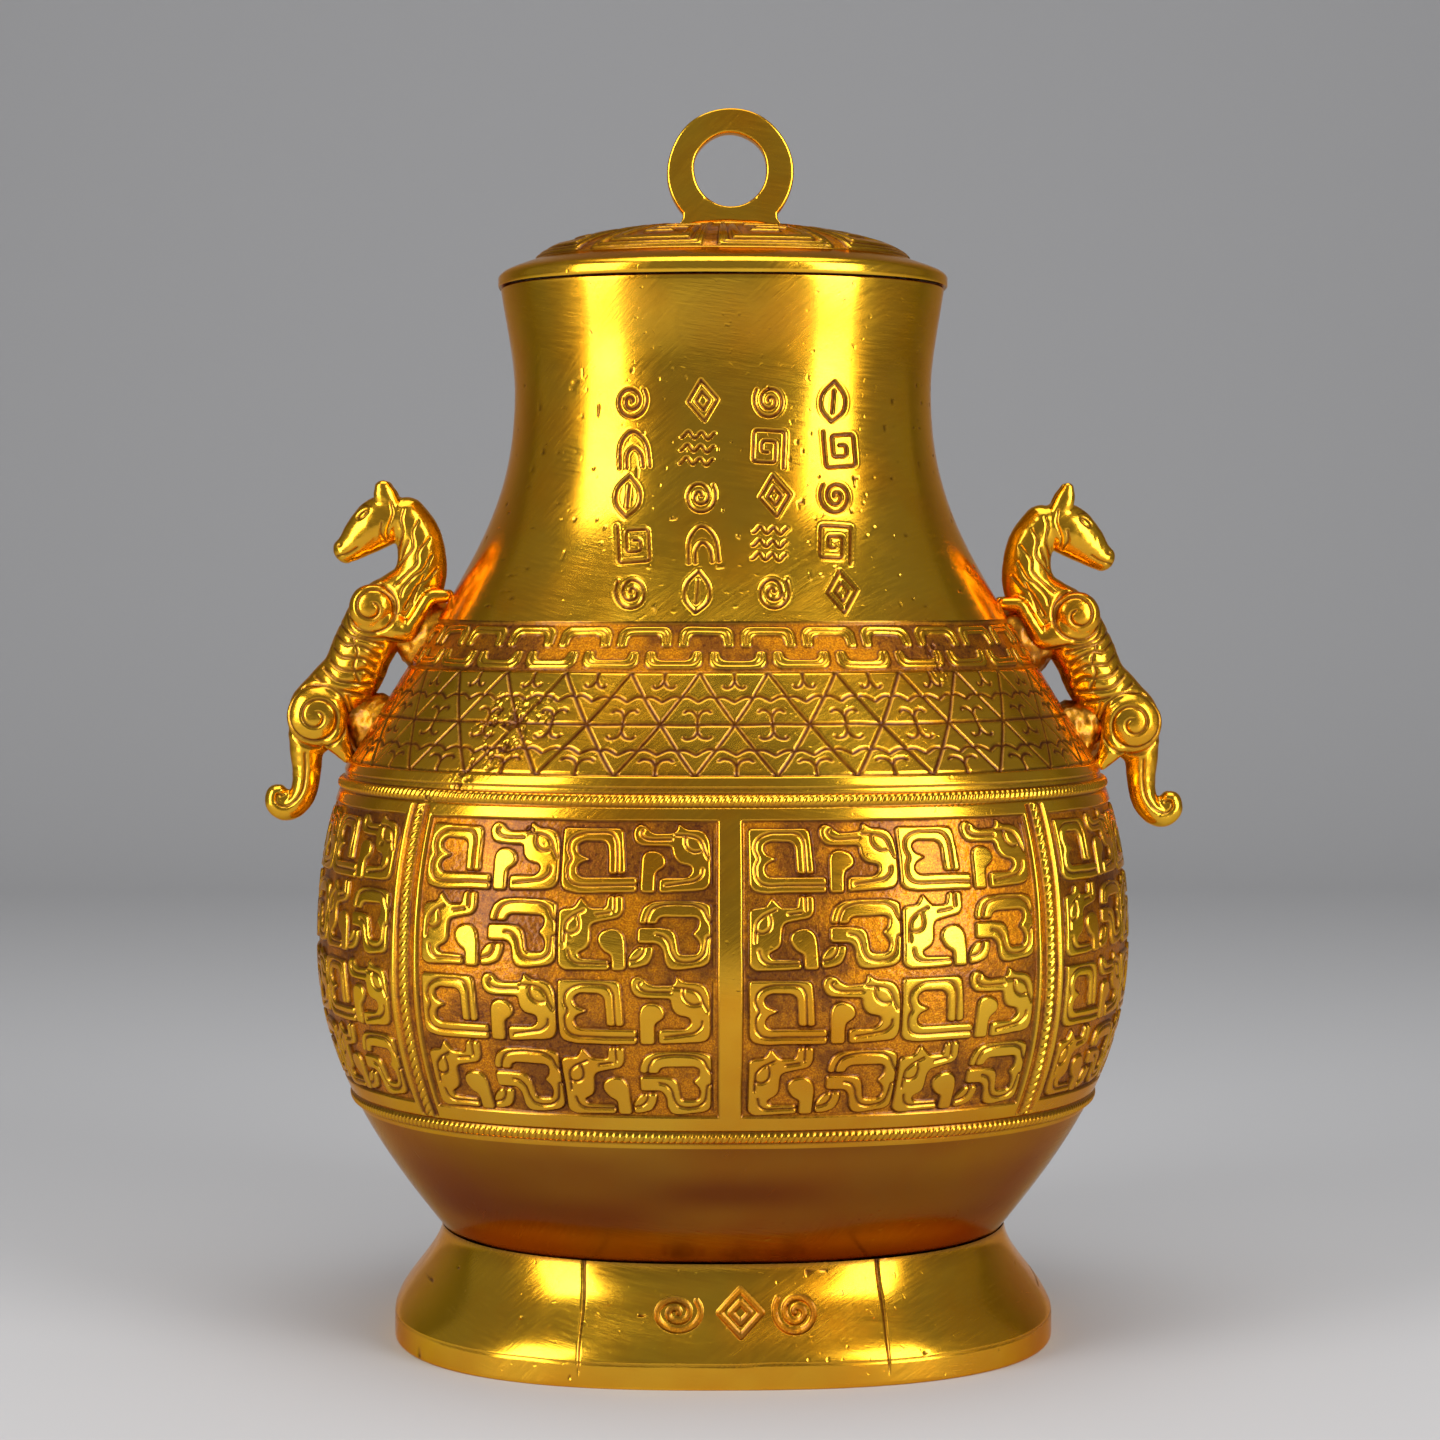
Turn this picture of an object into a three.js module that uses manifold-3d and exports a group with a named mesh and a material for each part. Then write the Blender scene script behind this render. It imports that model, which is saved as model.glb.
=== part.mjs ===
// A gilt bronze bottle with a rounded square body, a flared foot, a lift-off lid with a flat ring,
// and two beasts as handles. Millimetres, +Z up, the origin at the middle of the foot's base.
import * as THREE from 'three';
import { mergeVertices } from 'three/addons/utils/BufferGeometryUtils.js';
import Module from 'manifold-3d';

const wasm = await Module();
wasm.setup();

// Section: every level is the same rounded square, wider than it is deep
const bodyPower = 2.35; // 2 is an ellipse, larger is squarer
const footPower = 2.55; // the foot's base is a little squarer than the body
const depthShare = 0.92; // depth over width

// Half widths, each at its own height
const footHalfWidth = 85.6;
const waistHalfWidth = 73.4;
const bellyHalfWidth = 105.2;
const shoulderHalfWidth = 96.4;
const neckBaseHalfWidth = 74;
const neckHalfWidth = 54;
const mouthHalfWidth = 57.4;

// Heights above the base
const footBandHeight = 6.4;
const waistHeight = 28.6;
const bellyHeight = 101.1;
const shoulderHeight = 148.3;
const neckBaseHeight = 184.7;
const neckHeight = 243.1;
const mouthHeight = 269.6;

// How full the outline's curves are: their handles, as shares of the stretch that each one spans
const waistPull = { out: 0.214, up: 0.276 };
const bellyPull = { below: 0.414, above: 0.36 };
const shoulderPull = { out: 0.14, down: 0.31 };
const neckBasePull = 0.37;
const neckPull = { below: 0.4, above: 0.3 };
const mouthPull = { in: 0.05, down: 0.35 };

// Walls
const bodyWall = 3;
const footWall = 4;
const footLip = 6; // the foot's wall where it stands
const footSlope = 2; // how far the flare draws in just above its band
const floorWall = 3.4;
const floorDip = 4; // how far the belly's round bottom hangs below the waist

// Fits
const seatGap = 0.3; // left between two pieces that touch
const collarClearance = 1; // round the lid's collar in the mouth
const holeClearance = 0.3; // round a tenon in its hole

// Raised mouldings of the body
const ropeWidth = 4.4;
const ropeRise = 1.1;
const lowerRopeHeight = 62.6;
const upperRopeHeight = 143.2;
const stripWidth = 2.8; // the plain strip under the shoulder
const stripRise = 0.9;
const fieldBottom = 67.9; // the ornament fields between the ropes
const fieldTop = 138.3;
const fieldDepth = 0.8;
const fieldMargin = 4.3; // from the middle of a face, measured along the belly
const cornerMargin = 4.5; // from a corner
const cornerRopeRise = 0.7;
const edgeRun = 0.4; // the slope at a field's edge
const hookRows = 4; // one above the other in a field
const hooksInRow = 2; // with room for a carved head beside each
const motifMargin = 1.4; // from a field's upright edges
const motifRoot = 0.6; // how far a raised motif reaches into the wall under it

// Lid
const lidOverhang = 0.8;
const lidRimThickness = 2.7;
const lidShoulderHalfWidth = 48.9; // where the rim's slope meets the dome
const lidShoulderRise = 6.8; // above the rim's underside
const domeRise = 16.5; // the dome's top above the rim's underside
const lidWall = 3;
const rimSeatWidth = 10.4; // the flat ring under the rim
const collarDepth = 9;
const collarWall = 2.5;
const scrollCount = 8; // square scrolls round the dome
const scrollInnerHalfWidth = 18.5; // the sunk ring that they stand in
const scrollOuterHalfWidth = 42;
const scrollDepth = 0.6;
const scrollMargin = 1.2; // from the sunk ring's edges

// Ring on the lid
const ringRadius = 16.4;
const ringHoleRadius = 9.4;
const ringThickness = 6;
const ringCentreRise = 13.8; // above the dome's top
const ringHoleRise = 0.6; // the hole sits a little above the ring's middle
const ringNeckHalfWidth = 12.3;
const ringFootHalfWidth = 15.5;
const ringFootDepth = 10;
const ringFootHeight = 2.2;
const ringShift = 2; // the ring was set a little off the middle

// Tenons and roves
const tenonRadius = 2.6;
const peenedRadius = 4;
const peenedHeight = 1.6;
const roveRadius = 5.6;
const roveThickness = 1.4;
const tenonSides = 8; // a tenon is filed, a hole is drilled
const holeSides = 10;

// Handles: two beasts that climb the shoulder
const lowerSeatHeight = 156;
const seatSpacing = 27.5; // between the two tenons, along the wall
const drawnLean = 31.6; // the lean of the wall that the beast is drawn on, in degrees
const handleRise = 1; // the left beast stands this much high, the right one as much low

const gilt = { color: 0xd9a441, roughness: 0.32, metalness: 1 };
const giltPale = { color: 0xe0b04a, roughness: 0.26, metalness: 1 };
const giltDark = { color: 0xb98432, roughness: 0.4, metalness: 1 };

// One quarter of the rounded square of half width 1, from the side face to the front face.
class QuarterSection extends THREE.Curve {
  constructor(power) {
    super();
    this.power = power;
  }
  getPoint(t, target = new THREE.Vector2()) {
    const angle = (t * Math.PI) / 2;
    const share = 2 / this.power;
    return target.set(Math.cos(angle) ** share, depthShare * Math.sin(angle) ** share);
  }
}

const bellySection = new QuarterSection(bodyPower);

// A level's section power goes from the foot's to the body's between the base and the waist.
function powerAt(height) {
  const share = THREE.MathUtils.clamp(height / waistHeight, 0, 1);
  return THREE.MathUtils.lerp(footPower, bodyPower, share);
}

// The body's outline from the waist to the mouth: belly, shoulder and neck.
function bodyOutline() {
  const at = (halfWidth, height) => new THREE.Vector2(halfWidth, height);
  const waist = at(waistHalfWidth, waistHeight);
  const belly = at(bellyHalfWidth, bellyHeight);
  const shoulder = at(shoulderHalfWidth, shoulderHeight);
  const neckBase = at(neckBaseHalfWidth, neckBaseHeight);
  const neck = at(neckHalfWidth, neckHeight);
  const mouth = at(mouthHalfWidth, mouthHeight);
  const lower = belly.y - waist.y;
  const upper = shoulder.y - belly.y;
  const rise = neck.y - neckBase.y;
  const flare = mouth.y - neck.y;
  const lean = (shoulder.x - neckBase.x) / (neckBase.y - shoulder.y);
  const path = new THREE.CurvePath();
  path.add(new THREE.CubicBezierCurve(
    waist, at(waist.x + waistPull.out * lower, waist.y + waistPull.up * lower),
    at(belly.x, belly.y - bellyPull.below * lower), belly));
  path.add(new THREE.CubicBezierCurve(
    belly, at(belly.x, belly.y + bellyPull.above * upper),
    at(shoulder.x + shoulderPull.out * upper, shoulder.y - shoulderPull.down * upper), shoulder));
  path.add(new THREE.LineCurve(shoulder, neckBase));
  path.add(new THREE.CubicBezierCurve(
    neckBase, at(neckBase.x - lean * neckBasePull * rise, neckBase.y + neckBasePull * rise),
    at(neck.x, neck.y - neckPull.below * rise), neck));
  path.add(new THREE.CubicBezierCurve(
    neck, at(neck.x, neck.y + neckPull.above * flare),
    at(mouth.x - mouthPull.in * flare, mouth.y - mouthPull.down * flare), mouth));
  return path;
}

const outline = bodyOutline();
const outlinePoints = outline.getPoints(60);

// The outline's half width, and its outward normal, at a height.
function outlineAt(height) {
  const last = outlinePoints.length - 1;
  let i = outlinePoints.findIndex((p) => p.y > height);
  i = i < 0 ? last : Math.max(i, 1);
  const [low, high] = [outlinePoints[i - 1], outlinePoints[i]];
  const share = (height - low.y) / (high.y - low.y);
  const along = new THREE.Vector2().subVectors(high, low).normalize();
  return {
    point: new THREE.Vector2().lerpVectors(low, high, share),
    normal: new THREE.Vector2(along.y, -along.x),
  };
}

// A point beside the outline, out of the wall or, below zero, into it.
function besideOutline(height, out) {
  const { point, normal } = outlineAt(height);
  return point.addScaledVector(normal, out);
}

function innerHalfWidthAt(height) {
  return outlineAt(height).point.x - bodyWall / outlineAt(height).normal.x;
}

// Manifold solids from three.js geometries, and back
function toSolid(geometry) {
  geometry.deleteAttribute('normal');
  geometry.deleteAttribute('uv');
  const merged = mergeVertices(geometry, 1e-4);
  const all = merged.index.array;
  const triVerts = [];
  for (let i = 0; i < all.length; i += 3) {
    const [a, b, c] = [all[i], all[i + 1], all[i + 2]];
    if (a !== b && b !== c && c !== a) triVerts.push(a, b, c);
  }
  return new wasm.Manifold(new wasm.Mesh({
    numProp: 3,
    vertProperties: merged.attributes.position.array,
    triVerts: new Uint32Array(triVerts),
  }));
}

function toMesh(name, solid, look) {
  const mesh = solid.getMesh();
  const geometry = new THREE.BufferGeometry();
  geometry.setAttribute('position', new THREE.BufferAttribute(mesh.vertProperties, 3));
  geometry.setIndex(new THREE.BufferAttribute(mesh.triVerts, 1));
  geometry.computeVertexNormals();
  const part = new THREE.Mesh(geometry, new THREE.MeshStandardMaterial(look));
  part.name = name;
  return part;
}

// Arc lengths at the belly, from the middle of a side face to the corner and to the middle of the front
const quarter = bellySection.getLength() * bellyHalfWidth;
const cornerLengths = bellySection.getLengths();
const corner = cornerLengths[Math.round((cornerLengths.length - 1) / 2)] * bellyHalfWidth;

// A level's columns over one quarter: arc length from the side face's middle at the belly, and relief.
function quarterColumns() {
  const columns = [{ arc: 0, rise: 0 }];
  const addField = (from, to) => {
    columns.push({ arc: from, rise: 0 });
    for (const share of [0, 0.25, 0.5, 0.75, 1]) {
      columns.push({ arc: THREE.MathUtils.lerp(from + edgeRun, to - edgeRun, share), rise: -fieldDepth });
    }
    columns.push({ arc: to, rise: 0 });
  };
  addField(fieldMargin, corner - cornerMargin);
  columns.push({ arc: corner, rise: cornerRopeRise });
  addField(corner + cornerMargin, quarter - fieldMargin);
  return columns.map(({ arc, rise }) => ({ t: bellySection.getUtoTmapping(arc / quarter), rise }));
}

// A whole turn is one quarter's columns and their mirror images. Odd quarters run backwards.
function wholeTurn(quarterList) {
  const turn = [];
  for (let quarter = 0; quarter < 4; quarter++) {
    const backwards = [{ t: 1, rise: 0 }, ...quarterList.slice(1).reverse()];
    for (const column of quarter % 2 ? backwards : quarterList) turn.push({ ...column, quarter });
  }
  return turn;
}

// The column at an arc length round the belly, counter-clockwise from the middle of the right face.
function columnAt(arc) {
  const turns = (arc / quarter + 4) % 4;
  const side = Math.floor(turns);
  const share = side % 2 ? 1 - (turns - side) : turns - side;
  return { t: bellySection.getUtoTmapping(share), quarter: side };
}

function evenColumns(perQuarter) {
  const quarterList = [];
  for (let i = 0; i < perQuarter; i++) {
    quarterList.push({ t: bellySection.getUtoTmapping(i / perQuarter), rise: 0 });
  }
  return wholeTurn(quarterList);
}

// Where a column stands on a level of half width 1.
function columnPoint(column, power) {
  const { x, y } = new QuarterSection(power).getPoint(column.t);
  const signX = column.quarter === 0 || column.quarter === 3 ? 1 : -1;
  const signY = column.quarter < 2 ? 1 : -1;
  return new THREE.Vector2(signX * x, signY * y);
}

// A profile, closed or from axis to axis, taken round the rounded square.
// Rows that lie in an ornament field take the relief of their columns.
function sweepRound(rows, columns, powerOf = powerAt) {
  const geometry = new THREE.LatheGeometry(rows.map((row) => row.point), columns.length);
  const position = geometry.attributes.position;
  for (let i = 0; i <= columns.length; i++) {
    const column = columns[i % columns.length];
    rows.forEach(({ point, inField }, j) => {
      const unit = columnPoint(column, powerOf(point.y));
      const halfWidth = point.x + (inField ? column.rise : 0);
      position.setXYZ(i * rows.length + j, unit.x * halfWidth, unit.y * halfWidth, point.y);
    });
  }
  return toSolid(geometry);
}

const row = (x, y, inField = false) => ({ point: new THREE.Vector2(x, y), inField });
const rowBeside = (height, out, inField = false) => ({ point: besideOutline(height, out), inField });

// Heights from one level to another, without the first
function levels(from, to, count) {
  return Array.from({ length: count }, (_, i) => THREE.MathUtils.lerp(from, to, (i + 1) / count));
}

// The outside of the wall from the waist to the mouth, with its mouldings, moved out by a distance.
function outerRows(out) {
  const rope = (middle) => [
    rowBeside(middle - ropeWidth / 2, out),
    rowBeside(middle - ropeWidth / 5, out + ropeRise),
    rowBeside(middle + ropeWidth / 5, out + ropeRise),
    rowBeside(middle + ropeWidth / 2, out),
  ];
  const stripBottom = shoulderHeight - stripWidth;
  return [
    row(waistHalfWidth + out, waistHeight),
    ...levels(waistHeight, lowerRopeHeight - ropeWidth / 2, 3).slice(0, -1).map((z) => rowBeside(z, out)),
    ...rope(lowerRopeHeight),
    rowBeside(fieldBottom, out),
    rowBeside(fieldBottom + edgeRun, out, true),
    ...levels(fieldBottom, fieldTop, hookRows).slice(0, -1).map((z) => rowBeside(z, out, true)),
    rowBeside(fieldTop - edgeRun, out, true),
    rowBeside(fieldTop, out),
    ...rope(upperRopeHeight),
    rowBeside(stripBottom + edgeRun, out + stripRise),
    rowBeside(shoulderHeight - edgeRun, out + stripRise),
    rowBeside(shoulderHeight, out),
    ...levels(shoulderHeight, neckBaseHeight, 2).map((z) => rowBeside(z, out)),
    ...levels(neckBaseHeight, neckHeight, 4).map((z) => rowBeside(z, out)),
    ...levels(neckHeight, mouthHeight, 3).slice(0, -1).map((z) => rowBeside(z, out)),
    row(mouthHalfWidth + out, mouthHeight),
  ];
}

const spigotHalfWidth = waistHalfWidth - footWall - 2 * seatGap; // the belly's bottom inside the foot

// The belly's dished bottom, from the axis outwards, at a distance above its underside.
function bottomRows(above, reach, count) {
  return Array.from({ length: count }, (_, i) => {
    const angle = (i / count) * (Math.PI / 2);
    const height = waistHeight + above - floorDip * Math.cos(angle);
    return row(reach * Math.sin(angle), height);
  });
}

// The inside of the wall, from the mouth down to the floor.
function innerRows() {
  const innerBase = waistHeight + floorWall + floorDip;
  const heights = [
    ...levels(mouthHeight, neckHeight, 1),
    ...levels(neckHeight, neckBaseHeight, 4),
    ...levels(neckBaseHeight, shoulderHeight, 1),
    ...levels(shoulderHeight, bellyHeight, 2),
    ...levels(bellyHeight, innerBase, 2),
  ];
  return [row(innerHalfWidthAt(mouthHeight), mouthHeight), ...heights.map((z) => rowBeside(z, -bodyWall))];
}

// The hollow is cut out of the solid, and the mouth is cut level above it.
function bodyShell() {
  const rows = [
    ...bottomRows(0, spigotHalfWidth, 2),
    row(spigotHalfWidth, waistHeight),
    ...outerRows(0),
    row(0, mouthHeight),
  ];
  const top = mouthHeight + mouthHalfWidth;
  const hollow = [
    ...bottomRows(floorWall, spigotHalfWidth, 2),
    ...innerRows().reverse(),
    row(mouthHalfWidth + bodyWall, mouthHeight),
    row(mouthHalfWidth + bodyWall, top),
    row(0, top),
  ];
  const shell = sweepRound(rows, wholeTurn(quarterColumns()));
  return shell.subtract(sweepRound(hollow, evenColumns(8))).add(raisedHooks());
}

// A raised plate: an outline, counter-clockwise seen from outside, with its top and its root in the wall.
function plate(outlinePoints, topAt, rootAt) {
  const count = outlinePoints.length;
  const index = [];
  for (const [a, b, c] of THREE.ShapeUtils.triangulateShape(outlinePoints, [])) {
    index.push(a, b, c, c + count, b + count, a + count);
  }
  for (let i = 0; i < count; i++) {
    const next = (i + 1) % count;
    index.push(i + count, next + count, next, i + count, next, i);
  }
  const points = [...outlinePoints.map(topAt), ...outlinePoints.map(rootAt)];
  const geometry = new THREE.BufferGeometry().setFromPoints(points);
  geometry.setIndex(index);
  return toSolid(geometry);
}

// A square hook in the left half of its place, as shares of that place from the lower left.
const hookOutline = [[0.02, 0.06], [0.46, 0.06], [0.46, 0.27], [0.14, 0.27], [0.14, 0.7], [0.44, 0.7],
  [0.44, 0.9], [0.02, 0.9]];

// An outline in its place, mirrored or not
function placedOutline(shares, { left, width, bottom, height, mirrored }) {
  const points = shares.map(([u, v]) => new THREE.Vector2(
    left + (mirrored ? 1 - u : u) * width, bottom + v * height));
  return mirrored ? points.reverse() : points;
}

// The rows of hooks in the eight fields. Every second row is mirrored.
function raisedHooks() {
  const onWall = (out) => ({ x: arc, y: height }) => {
    const level = besideOutline(height, out);
    const place = columnPoint(columnAt(arc), powerAt(height)).multiplyScalar(level.x);
    return new THREE.Vector3(place.x, place.y, level.y);
  };
  const plates = [];
  const height = (fieldTop - fieldBottom) / hookRows;
  for (let face = 0; face < 4; face++) {
    const reach = (face % 2 ? quarter - corner : corner) - cornerMargin;
    const width = (reach - fieldMargin - 2 * motifMargin) / hooksInRow;
    for (const start of [face * quarter - reach, face * quarter + fieldMargin]) {
      for (let i = 0; i < hookRows * hooksInRow; i++) {
        const level = Math.floor(i / hooksInRow);
        const left = start + motifMargin + (i % hooksInRow) * width;
        const bottom = fieldBottom + level * height;
        const place = { left, width, bottom, height, mirrored: level % 2 === 0 };
        plates.push(plate(placedOutline(hookOutline, place), onWall(0), onWall(-fieldDepth - motifRoot)));
      }
    }
  }
  return wasm.Manifold.union(plates);
}

// How deep below its seat a flat rove lies, to clear the inside of a wall that may curve.
function depthUnder({ point, lean }, wall) {
  const out = new THREE.Vector2(Math.cos(lean), Math.sin(lean));
  const along = new THREE.Vector2(-out.y, out.x);
  const spots = new THREE.Path(wall.map((level) => level.point)).getSpacedPoints(400);
  const fromSeat = spots.map((spot) => spot.clone().sub(point));
  const under = fromSeat.filter((spot) => Math.abs(spot.dot(along)) < roveRadius);
  return Math.max(...under.map((spot) => -spot.dot(out)));
}

// The space that the body and a gap round it take up, to cut what seats on it.
function bodyEnvelope() {
  const rows = [row(0, waistHeight), ...outerRows(seatGap), row(0, mouthHeight)];
  return sweepRound(rows, wholeTurn(quarterColumns()));
}

// Rows along a curve from one [half width, height] to another, by way of its two handles.
function bezierRows(from, pull, push, to, count) {
  const at = ([x, y]) => new THREE.Vector2(x, y);
  const curve = new THREE.CubicBezierCurve(at(from), at(pull), at(push), at(to));
  return curve.getPoints(count).map((point) => ({ point, inField: false }));
}

function footRing() {
  const top = waistHeight - seatGap;
  const rise = top - footBandHeight;
  const innerTop = waistHalfWidth - footWall;
  const innerBase = footHalfWidth - footLip;
  const rows = [
    row(footHalfWidth, 0),
    ...bezierRows([footHalfWidth, footBandHeight], [footHalfWidth - footSlope, footBandHeight + 0.26 * rise],
      [waistHalfWidth, top - 0.38 * rise], [waistHalfWidth, top], 5),
    ...bezierRows([innerTop, top], [innerTop, top / 2],
      [innerBase - footSlope / 2, top / 2], [innerBase, 0], 3),
    row(footHalfWidth, 0),
  ];
  return sweepRound(rows, evenColumns(9));
}

// Lid, drawn with its rim's underside at height 0
const lidHalfWidth = mouthHalfWidth + lidOverhang;
const lidHeight = mouthHeight + seatGap;
const lidPower = () => bodyPower;

function domeRows(gap, count = 6) {
  return bezierRows([lidShoulderHalfWidth + gap, lidShoulderRise],
    [0.94 * lidShoulderHalfWidth + gap, 0.72 * domeRise + gap],
    [0.5 * lidShoulderHalfWidth, domeRise + gap], [0, domeRise + gap], count);
}

// The dome's height at a half width
function domeAt(halfWidth) {
  const points = domeRows(0, 60).map((level) => level.point);
  const i = points.findIndex((point) => point.x <= halfWidth);
  const [outer, inner] = [points[i - 1], points[i]];
  return THREE.MathUtils.mapLinear(halfWidth, outer.x, inner.x, outer.y, inner.y);
}

// The dome with the sunk ring that holds the scrolls
function ornamentedDome() {
  const sunk = (halfWidth) => row(halfWidth, domeAt(halfWidth) - scrollDepth);
  const flush = (halfWidth) => row(halfWidth, domeAt(halfWidth));
  const [outer, inner] = [scrollOuterHalfWidth, scrollInnerHalfWidth];
  const middle = (outer + inner) / 2;
  return [
    row(lidShoulderHalfWidth, lidShoulderRise), flush((lidShoulderHalfWidth + outer) / 2),
    flush(outer), sunk(outer - edgeRun), sunk(middle), sunk(inner + edgeRun), flush(inner), flush(inner / 2),
    row(0, domeRise),
  ];
}

// A square scroll open towards the ring, as shares of its place
const scrollOutline = [[0.05, 0], [0.21, 0], [0.21, 0.78], [0.79, 0.78], [0.79, 0], [0.95, 0],
  [0.95, 1], [0.05, 1]];

// The scrolls are set clockwise, because the dome is seen from above.
function raisedScrolls() {
  const onDome = (out) => ({ x: arc, y: halfWidth }) => {
    const place = columnPoint(columnAt(-arc), bodyPower).multiplyScalar(halfWidth);
    return new THREE.Vector3(place.x, place.y, domeAt(halfWidth) + out);
  };
  const width = (4 * quarter) / scrollCount;
  const bottom = scrollInnerHalfWidth + scrollMargin;
  const height = scrollOuterHalfWidth - scrollMargin - bottom;
  const plates = [];
  for (let i = 0; i < scrollCount; i++) {
    const place = { left: i * width, width, bottom, height };
    plates.push(plate(placedOutline(scrollOutline, place), onDome(0), onDome(-scrollDepth - motifRoot)));
  }
  return wasm.Manifold.union(plates);
}

// The inside of the dome, from its middle out to the flat ring under the rim.
function ceilingRows() {
  const inner = lidHalfWidth - rimSeatWidth;
  const ceiling = domeRise - lidWall;
  return bezierRows([0, ceiling], [0.5 * inner, ceiling], [0.95 * inner, 0.65 * ceiling], [inner, 0], 4);
}

function lidCover() {
  const rows = [
    ...ceilingRows(),
    row(lidHalfWidth, 0),
    row(lidHalfWidth, lidRimThickness),
    row(lidHalfWidth - lidRimThickness / 2, 1.4 * lidRimThickness),
    ...ornamentedDome(),
  ];
  return sweepRound(rows, evenColumns(8), lidPower).add(raisedScrolls());
}

function lidCollar() {
  const outer = innerHalfWidthAt(mouthHeight - collarDepth) - collarClearance;
  const top = -seatGap;
  const rows = [
    row(outer - collarWall, -collarDepth),
    row(outer, -collarDepth),
    row(outer, top),
    row(outer - collarWall, top),
    row(outer - collarWall, -collarDepth),
  ];
  return sweepRound(rows, evenColumns(8), lidPower);
}

// A plug whose shape is a profile turned about the axis through a seat, along the seat's normal.
function turned(points, sides, place) {
  const geometry = new THREE.LatheGeometry(points.map(([r, h]) => new THREE.Vector2(r, h)), sides);
  return toSolid(place(geometry));
}

// A tenon from inside its casting, down through a wall, to the head that is peened over the rove.
function tenonProfile(radius, root, wall) {
  const rovePlace = wall + seatGap;
  const headTop = rovePlace + roveThickness + seatGap;
  return [[0, -headTop - peenedHeight], [0.6 * peenedRadius, -headTop - peenedHeight],
    [peenedRadius, -headTop - peenedHeight / 2], [peenedRadius, -headTop], [radius, -headTop],
    [radius, root], [0, root]];
}

// The rove lies under the wall, round the tenon.
function roveProfile(radius, wall) {
  const inner = radius + holeClearance;
  const top = -wall - seatGap;
  const bottom = top - roveThickness;
  return [[inner, bottom], [roveRadius, bottom], [roveRadius, top], [inner, top], [inner, bottom]];
}

const holeProfile = (radius, wall) => [
  [0, -2 * wall], [radius + holeClearance, -2 * wall], [radius + holeClearance, wall], [0, wall],
];

// Ring
const upright = (lift) => (geometry) => geometry.rotateX(Math.PI / 2).translate(ringShift, 0, lift);

// The ring's outline: a round top that narrows to a neck and spreads to its foot.
function ringOutline() {
  const start = -Math.acos(ringNeckHalfWidth / ringRadius);
  const arc = new THREE.EllipseCurve(0, ringCentreRise, ringRadius, ringRadius, start, Math.PI - start);
  const neck = arc.getPoint(0);
  const spread = new THREE.QuadraticBezierCurve(
    new THREE.Vector2(ringFootHalfWidth, -ringFootHeight), new THREE.Vector2(ringNeckHalfWidth, 0), neck);
  const right = spread.getPoints(4);
  const left = right.map(({ x, y }) => new THREE.Vector2(-x, y)).reverse();
  const shape = new THREE.Shape([...right, ...arc.getPoints(22).slice(1, -1), ...left]);
  const hole = new THREE.Path();
  hole.absarc(0, ringCentreRise + ringHoleRise, ringHoleRadius, 0, 2 * Math.PI, true);
  shape.holes.push(hole);
  return shape;
}

function lidRing() {
  const bevel = 0.15 * ringThickness;
  const flat = new THREE.ExtrudeGeometry(ringOutline(), {
    depth: ringThickness - 2 * bevel, bevelThickness: bevel, bevelSize: bevel, bevelOffset: -bevel,
    bevelSegments: 1, curveSegments: 11,
  });
  const ring = toSolid(upright(domeRise)(flat.translate(0, 0, bevel - ringThickness / 2)));
  const padProfile = [[0, -ringFootHeight], [1, -ringFootHeight], [0.8, 0], [0, 0.3 * ringFootHeight]];
  const pad = turned(padProfile, 24, (geometry) => geometry
    .scale(ringFootHalfWidth, 1, ringFootDepth / 2).rotateX(Math.PI / 2).translate(ringShift, 0, domeRise));
  const underside = -2 * lidRimThickness;
  const below = [row(0, underside), row(lidHalfWidth, underside), ...domeRows(seatGap)];
  const seated = ring.add(pad).subtract(sweepRound(below, evenColumns(8), lidPower));
  const profile = tenonProfile(tenonRadius, ringFootHeight, ringDepth());
  return seated.add(turned(profile, tenonSides, upright(domeRise)));
}

// How deep the ring's rove lies below the dome's top.
function ringDepth() {
  return depthUnder({ point: new THREE.Vector2(ringShift, domeRise), lean: Math.PI / 2 }, ceilingRows());
}

// Handles. A beast is drawn on the right, out from the wall and up from its lower seat,
// as stations of [out, up, side, half height, half thickness].
const spine = [
  [-8, 54.2, 0, 5.7, 5], [-11.6, 48.8, 0, 5.8, 5.4], [-12.9, 42.7, 0, 6.1, 5.8], [-11.7, 37, 0, 6.8, 6.2],
  [-7.6, 32.2, 0, 7.9, 6.8], [-2.2, 27.8, 0, 8.5, 7.4], [2.3, 20.5, 0, 7.9, 7.6], [5.6, 13.2, 0, 7.8, 7.2],
  [10, 8, 0, 8.1, 7.2], [14.3, 2.3, 0, 8.4, 7.4], [16.6, -3.4, 0, 6, 5.2],
];
const tail = [
  [16.8, -1.5, 0, 5.6, 4.8], [17.7, -6.9, 0, 4.3, 4.2], [17.7, -12.1, 0, 3.5, 3.7],
  [18.4, -16.9, 0, 3.2, 3.4], [20.2, -20.7, 0, 3.1, 3.3], [23.2, -22.6, 0, 2.9, 3.2],
  [26, -21, 0, 2.6, 3], [26.3, -18, 0, 2.3, 2.8], [24.3, -17, 0, 1.8, 2.4],
];
const head = [
  [-4.9, 54.3, 0, 6, 5], [-1.2, 52.3, 0, 6.3, 5.2], [2.7, 49.2, 0, 5, 4.4], [5.9, 46.6, 0, 3.3, 3.4],
  [7.9, 45.1, 0, 2.5, 2.9],
];
const ear = [[-4.2, 57.2, 2.6, 3, 2], [-2.8, 61.2, 3, 2.5, 1.7], [-2.2, 63.6, 3.2, 1.5, 1.2]];
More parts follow.
